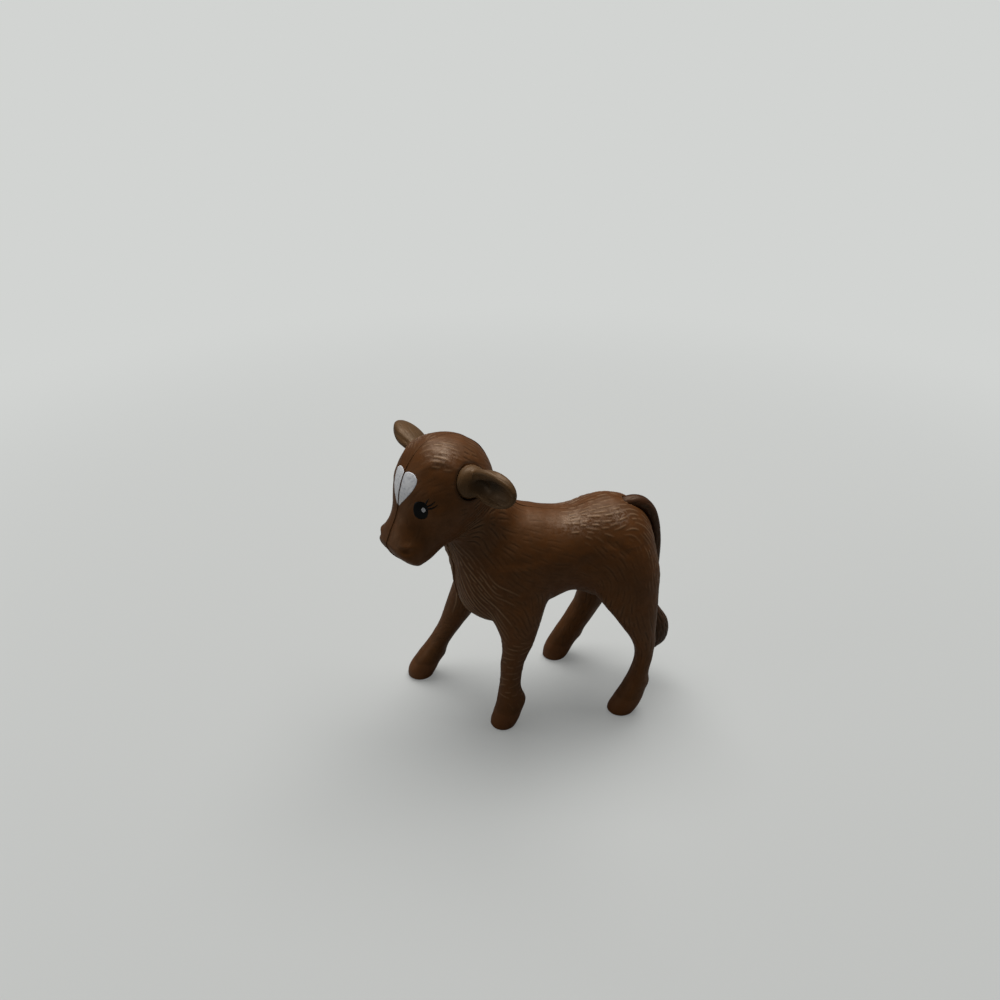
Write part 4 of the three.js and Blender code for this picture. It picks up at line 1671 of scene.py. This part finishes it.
    def _half(self, skin: Skin, tones: Tones, side: Side) -> Object:
        """Cuts one half off along the parting line, with rounded lips, and closes it.

        Args:
            skin: The skin of both halves.
            tones: The values of its points that the material reads, by name.
            side: The half that is kept.

        Returns:
            The half's object.
        """
        piece = new_object(f"{side.word}_shell", skin.points, skin.quads, np.zeros(3), tones)
        mesh = piece.data
        straight = self.calf.line.straight(skin.points)
        mesh.vertices.foreach_set("co", straight.ravel())
        work = bmesh.new()
        work.from_mesh(mesh)
        every = [*work.verts, *work.edges, *work.faces]
        edge = side.value * self.seam_width / 2
        bmesh.ops.bisect_plane(
            work,
            geom=every,
            dist=self.seam_snap,
            plane_co=(0, edge, 0),
            plane_no=(0, side.value, 0),
            clear_inner=True,
        )
        work.normal_update()
        rim = [line for line in work.edges if line.is_boundary]
        for share, sink in self.lip_rows:
            rim = self._lip(work, rim, share * edge, sink)
        self._close(work, rim)
        for face in work.faces:
            face.smooth = True
        work.to_mesh(mesh)
        work.free()
        points = np.empty(len(mesh.vertices) * 3)
        mesh.vertices.foreach_get("co", points)
        bent = self.calf.line.bent(points.reshape(-1, 3))
        mesh.vertices.foreach_set("co", ((bent + self.calf.shift) * MM).ravel())
        mesh.update()
        cut_away(piece, self._socket_tool(side))
        piece.data.set_sharp_from_angle(angle=math.radians(self.sharp_angle))
        return piece

    def _close(self, work: bmesh.types.BMesh, rim: Edges) -> None:
        """Fills the open side, in strips short enough to follow the bend of the neck.

        Args:
            work: The mesh.
            rim: The edges round the opening.
        """
        wall = bmesh.ops.triangle_fill(work, edges=rim, use_beauty=True)["geom"]
        faces = {item for item in wall if isinstance(item, bmesh.types.BMFace)}
        bend = self.calf.line.radius * self.calf.line.angle
        for i in range(self.bend_strips + 1):
            parts = {*faces, *(edge for face in faces for edge in face.edges)}
            parts |= {corner for face in faces for corner in face.verts}
            along = bend * i / self.bend_strips
            cut = bmesh.ops.bisect_plane(
                work,
                geom=list(parts),
                dist=self.strip_snap,
                plane_co=(along, 0, 0),
                plane_no=(1, 0, 0),
            )["geom"]
            faces = {item for item in cut if isinstance(item, bmesh.types.BMFace) and item.is_valid}

    def _lip(self, work: bmesh.types.BMesh, rim: Edges, aside: float, sink: float) -> Edges:
        """Adds one row of faces inwards from an open rim.

        Args:
            work: The mesh.
            rim: The edges round the opening.
            aside: The new rim's distance from the parting line.
            sink: How deep it lies, as a share of the lip's depth.

        Returns:
            The new rim.
        """
        corners = {}
        for edge in rim:
            for corner in edge.verts:
                if corner not in corners:
                    inwards = Vector((corner.normal.x, 0.0, corner.normal.z)).normalized()
                    ahead = smooth_step(corner.co.x, *self.lip_run)
                    ahead = ahead * (1 - smooth_step(corner.co.z, *self.crown))
                    depth = self.back_lip + (self.lip - self.back_lip) * float(ahead)
                    place = corner.co - inwards * (sink * depth)
                    place.y = aside
                    corners[corner] = work.verts.new(place, corner)
                    corners[corner].normal = corner.normal
        new_rim = []
        for edge in rim:
            loop = edge.link_loops[0]
            first, second = loop.vert, loop.link_loop_next.vert
            face = work.faces.new((second, first, corners[first], corners[second]))
            new_rim.append(next(e for e in face.edges if set(e.verts) == {corners[first], corners[second]}))
        return new_rim

    def _socket_tool(self, side: Side) -> Object:
        """The round space that an ear's disc sits in."""
        sides = self.socket_sides
        angles = np.linspace(0, 2 * math.pi, sides, endpoint=False)
        ring = [[self.socket_radius * math.cos(a), self.socket_radius * math.sin(a)] for a in angles]
        points = np.array([[x, y, z] for z in (-self.socket_depth, self.socket_top) for x, y in ring])
        faces = [list(range(sides))[::-1], *ring_faces(2, sides)]
        return new_object("socket", self.calf.socket(side).outside(points), faces, self.calf.shift)


@dataclass
class Tail:
    """The tail with its tuft, hanging from a hole in the rump."""

    calf: Calf
    grid: float = 0.34
    low: Triple = (16.0, -4.5, 6.0)
    high: Triple = (40.0, 4.5, 58.0)
    seed: int = 11
    hairs: tuple[Hair, ...] = (
        Hair((24, 0, 54), (1, 0, 0), 4, 0.8, 0.1, 0.8),
        Hair((30, 0, 49), (0.4, 0, -0.9), 5, 0.8, 0.1, 0.8),
        Hair((31.5, 0, 38), (0, 0, -1), 6, 0.8, 0.1, 0.8),
        Hair((31.8, 0, 26), (0.1, 0, -1), 6, 0.7, 0.12, 1.0),
        Hair((34.4, 0, 17), (0.25, 0, -1), 8, 0.65, 0.2, 1.0),
        Hair((34.6, 0, 12), (-0.2, 0, -1), 6, 0.65, 0.2, 1.0),
    )

    def build(self) -> Object:
        """Skins and engraves the tail."""
        block = Field(np.array(self.low), np.array(self.high), self.grid)
        block.add(Limb(TAIL_LINE), blend=0.5)
        skin = Skin.of(block, rounds=4, fine_rounds=1)
        groove, ridge = Engraver.of(self.hairs, self.seed, wave=0.5).engrave(skin)
        tones = {"groove": groove, "ridge": ridge}
        log.info("tail skin: %d faces", len(skin.quads))
        return new_object("tail_piece", skin.points, skin.quads, self.calf.shift, tones)


@dataclass
class Ear:
    """One ear: a domed disc that sits in its socket, and a cupped blade with a rolled rim."""

    calf: Calf
    side: Side
    grid: float = 0.25
    low: Triple = (-5.0, -5.0, -2.0)
    high: Triple = (7.0, 5.0, 12.5)
    seed: int = 13
    strand: float = 0.14
    disc_radius: float = 3.4
    disc_rise: float = 1.7
    disc_edge: float = 0.1
    underside: float = -1.1
    lean: float = 15.0
    blade_back: float = 0.25
    half_thickness: float = 1.65
    half_width: float = 3.9
    half_length: float = 5.35
    scoop: tuple[Triple, Triple] = ((-3.2, -0.35, 6.5), (3.7, 3.5, 5.3))  # makes the blade a cup
    pit: tuple[Triple, Triple] = ((-1.8, 0.0, 3.2), (2.3, 1.8, 2.1))  # the deeper hollow at its root
    shadow: tuple[Triple, Triple] = ((0.0, 0.9, 4.4), (2.6, 2.2, 4.0))  # where the painted shade of the hollow lies
    shadow_edge: tuple[float, float] = (0.0, 0.5)
    shadow_fade: tuple[float, float] = (-1.6, 1.0)
    rim: Table = (
        (-0.3, 2.3, 0.9, 0.6, 0.6),
        (-0.5, 3.0, 2.6, 0.75, 0.75),
        (-0.6, 3.25, 4.6, 0.75, 0.75),
        (-0.55, 2.85, 6.8, 0.65, 0.65),
        (-0.4, 2.0, 8.8, 0.55, 0.55),
        (-0.2, 0.8, 10.1, 0.4, 0.4),
    )

    def build(self) -> Object:
        """Skins and engraves the ear in its own frame, then places it."""
        up = -self.side.value  # the way along Y to the calf's back
        lean = Place(turned(1, self.lean))
        scoop, pit, shadow = (
            Egg(across(centre, up), radii, place=lean)
            for centre, radii in (self.scoop, self.pit, self.shadow)
        )
        skin = Skin.of(self.block(up, scoop, pit), rounds=3, fine_rounds=1)
        hairs = (
            Hair((-1, 2 * up, 4), (0.1, 0.2 * up, 1), 3.5, 0.7, 0.05, 0.5),
            Hair((-1, -2 * up, 5), (0.1, -0.2 * up, 1), 3.5, 0.7, 0.05, 0.5),
            Hair((2.5, 0, 5), (0.2, 0, 1), 3.5, 0.8, 0.05, 0.5),
            Hair((-1.5, 0, 0.5), (0, 1, 0), 2, 1.2, 0.03, 0.0),
        )
        # Painted shade in the hollow of the ear
        inside = np.minimum(scoop.value(skin.points), pit.value(skin.points))
        hollow_shade = 1 - smooth_step(inside, *self.shadow_edge)
        hollow_shade *= 1 - smooth_step(shadow.value(skin.points), *self.shadow_fade)
        groove, ridge = Engraver.of(hairs, self.seed, half_width=self.strand).engrave(skin)
        placed = self.calf.ear(self.side).outside(skin.points)
        tones = {"groove": groove, "ridge": ridge, "tint": hollow_shade}
        log.info("%s ear skin: %d faces", self.side.word, len(skin.quads))
        return new_object(f"{self.side.word}_ear_piece", placed, skin.quads, self.calf.shift, tones)

    def block(self, up: int, scoop: Egg, pit: Egg) -> Field:
        """The ear's plastic in its own frame.

        Args:
            up: Which way along Y the calf's back lies, 1 or -1.
            scoop: The space that makes the blade a cup.
            pit: The deeper space at its root.

        Returns:
            The field.
        """
        radius = self.disc_radius
        radii = (self.half_thickness, self.half_width, self.half_length)
        block = Field(np.array(self.low), np.array(self.high), self.grid)
        disc = tuple((height, 0, 0, radius, radius) for height in (self.underside, self.disc_edge))
        rim = tuple(across(row, up) for row in self.rim)
        block.add(Sections(disc, axis=2), blend=0.2)
        block.add(Egg((0, 0, 0), (radius, radius, self.disc_rise)), blend=0.3)
        block.add(Egg((self.blade_back, 0, self.half_length), radii, place=scoop.place), blend=1.2)
        block.level()
        block.carve(scoop, blend=0.4)
        block.carve(pit, blend=0.8)
        block.add(Limb(rim, place=scoop.place), blend=0.35)
        return block


@dataclass
class PaintedFace:
    """The painted eyes with their lashes, and the two lobes of the pale mark between them."""

    calf: Calf
    skin: Skin
    eye_centre: Triple = (-16.6, 4.9, 64.5)
    eye_way: Triple = (-0.83, 0.56, 0.03)
    mark_centre: Triple = (-18.0, 0.0, 68.0)
    mark_way: Triple = (-0.93, 0.0, 0.37)
    oval: Table = (
        (0.0, -2.05),
        (1.15, -1.5),
        (1.55, 0.1),
        (1.2, 1.5),
        (0.1, 2.0),
        (-1.1, 1.5),
        (-1.5, 0.0),
        (-1.15, -1.5),
    )
    glint: Table = ((0.55, -0.35), (1.1, 0.15), (0.7, 0.75), (0.2, 0.3))
    lashes: tuple[Table, ...] = (
        ((1.0, 1.4, 0.14), (1.35, 2.1, 0.13), (1.7, 2.8, 0.03)),
        ((1.3, 1.0, 0.16), (2.2, 1.5, 0.14), (3.0, 2.3, 0.03)),
        ((1.45, 0.5, 0.16), (2.5, 0.8, 0.14), (3.4, 1.5, 0.03)),
    )
    lobe: Table = (
        (0.14, -3.6),
        (1.0, -2.8),
        (2.0, -1.5),
        (3.0, 0.1),
        (3.5, 1.7),
        (3.4, 2.9),
        (2.5, 3.7),
        (1.4, 3.8),
        (0.6, 3.5),
        (0.14, 2.8),
        (0.14, 0.0),
    )

    def build(self) -> dict[str, list[Object]]:
        """Lays every film.

        Returns:
            The films by the paint that they are of.
        """
        skin = bvhtree.BVHTree.FromPolygons(self.skin.points.tolist(), self.skin.quads.tolist())
        films: dict[str, list[Object]] = {"eye": [], "glint": [], "mark": []}
        for side in Side:
            inwards = -side.value
            eye = self._plane(self.eye_centre, self.eye_way, side)
            mark = self._plane(self.mark_centre, self.mark_way, side)
            oval = Patch(self._drawn(self.oval, side), (0.0, 0.0))
            glint = Patch(self._drawn(self.glint, side), (0.6 * inwards, 0.2), rings=4, lift=0.08)
            lobe = Patch(self._drawn(self.lobe, side), (1.8 * inwards, 0.8), rings=14)
            drawings = [("eye", "eye", oval, eye), ("glint", "eye_glint", glint, eye)]
            for i, rows in enumerate(self.lashes):
                lash = Lash(self._drawn(rows, side, turn=False), lift=0.05)
                drawings.append(("eye", f"lash_{i + 1}", lash, eye))
            drawings.append(("mark", "forehead_mark", lobe, mark))
            for paint, name, film, plane in drawings:
                piece = new_object(f"{side.word}_{name}", *film.laid(plane, skin), self.calf.shift)
                films[paint].append(piece)
        return films

    def _plane(self, centre: Triple, way: Triple, side: Side) -> Place:
        """A drawing plane on the head.

        Args:
            centre: Its middle on the right side, in the head's frame.
            way: The direction that it faces there.
            side: The side that it is wanted on.

        Returns:
            The plane's frame: Z outwards, Y up along the skin.
        """
        outwards = unit(np.array(across(way, side.value)))
        level = unit(np.cross([0.0, 0.0, 1.0], outwards))
        turn = np.column_stack([level, np.cross(outwards, level), outwards])
        return self.calf.head.then(Place(turn, np.array(across(centre, side.value))))

    def _drawn(self, rows: Table, side: Side, turn: bool = True) -> Table:
        """A drawing for one side.

        Args:
            rows: The drawing for the left side.
            side: The side that it is wanted for.
            turn: Whether it is an outline, which stays anticlockwise when it is mirrored.

        Returns:
            The rows.
        """
        if side is Side.LEFT:
            return rows
        mirrored = tuple((-row[0], *row[1:]) for row in rows)
        return mirrored[::-1] if turn else mirrored


# The studio


@dataclass
class Studio:
    """The pale floor, the soft light and the camera. The calf's top is lit at a level of about one."""

    calf: Calf
    camera_place: Triple = (-31.489, -138.517, 142.2)
    camera_turn: Triple = (59.0, 0.0, -10.4)
    lens: float = 27.04
    sensor: float = 36.0
    clip_start: float = 0.005
    aim: Triple = (0.0, 0.0, 0.04)
    key_place: Triple = (0.04, 0.13, 0.5)
    key_size: tuple[float, float] = (0.45, 0.3)
    key_watts: float = 2.4
    fill_place: Triple = (-0.38, -0.05, 0.12)
    fill_size: tuple[float, float] = (0.22, 0.16)
    fill_watts: float = 0.15
    sky_tone: str = "#eef2f5"
    sky_strength: float = 0.14
    floor_reach: float = 2.5
    floor_tone: str = "#cbccc9"
    bounce_tone: str = "#8e8e89"  # what the floor throws back on the calf
    backdrop_tone: str = "#d2d4d2"  # what the camera sees of the world and the far floor
    backdrop_run: tuple[float, float] = (0.05, 0.35)  # distances over which the floor fades to it
    near_share: float = 0.25

    def build(self) -> None:
        """Makes the floor, the lamps, the world and the camera."""
        self._camera()
        self._floor()
        self._light()

    def _camera(self) -> None:
        """Places the camera where the photograph was taken from."""
        data = bpy.data.cameras.new("camera")
        data.lens = self.lens
        data.sensor_width = self.sensor
        data.clip_start = self.clip_start
        camera = linked("camera", data)
        camera.location = (np.array(self.camera_place) + self.calf.shift) * MM
        camera.rotation_euler = [math.radians(value) for value in self.camera_turn]
        bpy.context.scene.camera = camera

    def _floor(self) -> None:
        """Lays a pale painted board, which fades into the backdrop's tone as seen by the camera."""
        square = ((-1, -1, 0), (1, -1, 0), (1, 1, 0), (-1, 1, 0))
        corners = np.array(square) * self.floor_reach / MM
        floor = new_object("floor", corners, [[0, 1, 2, 3]], np.zeros(3))
        material, tree, place = new_material("pale painted board")
        seen = add_node(tree, "ShaderNodeLightPath").outputs["Is Camera Ray"]
        tones = {0: seen, 6: linear(self.bounce_tone), 7: linear(self.floor_tone)}
        tone = add_node(tree, "ShaderNodeMix", tones, data_type="RGBA").outputs[2]
        shader = tree.nodes["Principled BSDF"]
        plug(tree, shader, {"Base Color": tone, "Roughness": 0.8})
        away = add_node(tree, "ShaderNodeVectorMath", {0: place}, operation="LENGTH").outputs["Value"]
        start, end = self.backdrop_run
        inputs = {"Value": away, "From Min": start, "From Max": end, "To Min": self.near_share}
        far = add_node(tree, "ShaderNodeMapRange", inputs, interpolation_type="SMOOTHSTEP").outputs["Result"]
        share = add_node(tree, "ShaderNodeMath", {0: far, 1: seen}, operation="MULTIPLY").outputs[0]
        pale = add_node(tree, "ShaderNodeEmission", {"Color": linear(self.backdrop_tone)}).outputs[0]
        inputs = {0: share, 1: shader.outputs[0], 2: pale}
        surface = add_node(tree, "ShaderNodeMixShader", inputs).outputs[0]
        plug(tree, tree.nodes["Material Output"], {"Surface": surface})
        floor.data.materials.append(material)

    def _lamp(self, name: str, place: tuple[float, ...], size: tuple[float, float], watts: float) -> None:
        """Hangs one oblong lamp that looks at the calf.

        Args:
            name: The lamp's name.
            place: Where it hangs, in metres.
            size: Its two sides, in metres.
            watts: How strong it is.
        """
        data = bpy.data.lights.new(name, "AREA")
        data.shape = "RECTANGLE"
        data.size, data.size_y = size
        data.energy = watts
        lamp = linked(name, data)
        lamp.location = place
        direction = Vector(self.aim) - lamp.location
        lamp.rotation_euler = direction.to_track_quat("-Z", "Y").to_euler()

    def _light(self) -> None:
        """Hangs the two soft lamps and sets the world's light."""
        self._lamp("soft box", self.key_place, self.key_size, self.key_watts)
        self._lamp("fill lamp", self.fill_place, self.fill_size, self.fill_watts)
        world = bpy.data.worlds.new("studio world")
        world.use_nodes = True
        tree = world.node_tree
        light = tree.nodes["Background"]
        plug(tree, light, {"Color": linear(self.sky_tone), "Strength": self.sky_strength})
        pale = add_node(tree, "ShaderNodeBackground", {"Color": linear(self.backdrop_tone)}).outputs[0]
        seen = add_node(tree, "ShaderNodeLightPath").outputs["Is Camera Ray"]
        inputs = {0: seen, 1: light.outputs[0], 2: pale}
        surface = add_node(tree, "ShaderNodeMixShader", inputs).outputs[0]
        plug(tree, tree.nodes["World Output"], {"Surface": surface})
        bpy.context.scene.world = world


def dress(piece: Object, material: Material, body: str, node: str = "") -> None:
    """Finishes a piece, hangs it on its body and hides the node that it stands for.

    Args:
        piece: The piece.
        material: Its finish.
        body: The body that it rides on.
        node: The node that it stands for, if any.
    """
    piece.data.materials.clear()
    piece.data.materials.append(material)
    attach(piece, body)
    if node:
        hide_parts(node)
    log.info("%s: %d faces, rides on %s", piece.name, len(piece.data.polygons), body)


def main() -> None:
    """Builds every piece and reports it."""
    logging.basicConfig(level=logging.INFO, format="%(message)s")
    bpy.context.scene.view_settings.view_transform = "Standard"
    calf = Calf()
    body_vinyl = BODY_VINYL.material()
    ear_vinyl = EAR_VINYL.material()
    halves = BodyHalves(calf)
    for side, piece in halves.build().items():
        dress(piece, body_vinyl, "figure", f"{side.word}_body_half")
    for paint, films in PaintedFace(calf, halves.skin).build().items():
        material = PAINTS[paint].material()
        for film in films:
            dress(film, material, "figure")
    dress(Tail(calf).build(), TAIL_VINYL.material(), "figure", "tail")
    for side in Side:
        piece = Ear(calf, side).build()
        dress(piece, ear_vinyl, f"{side.word}_ear", f"{side.word}_ear")
    Studio(calf).build()


if __name__ == "__main__":
    main()
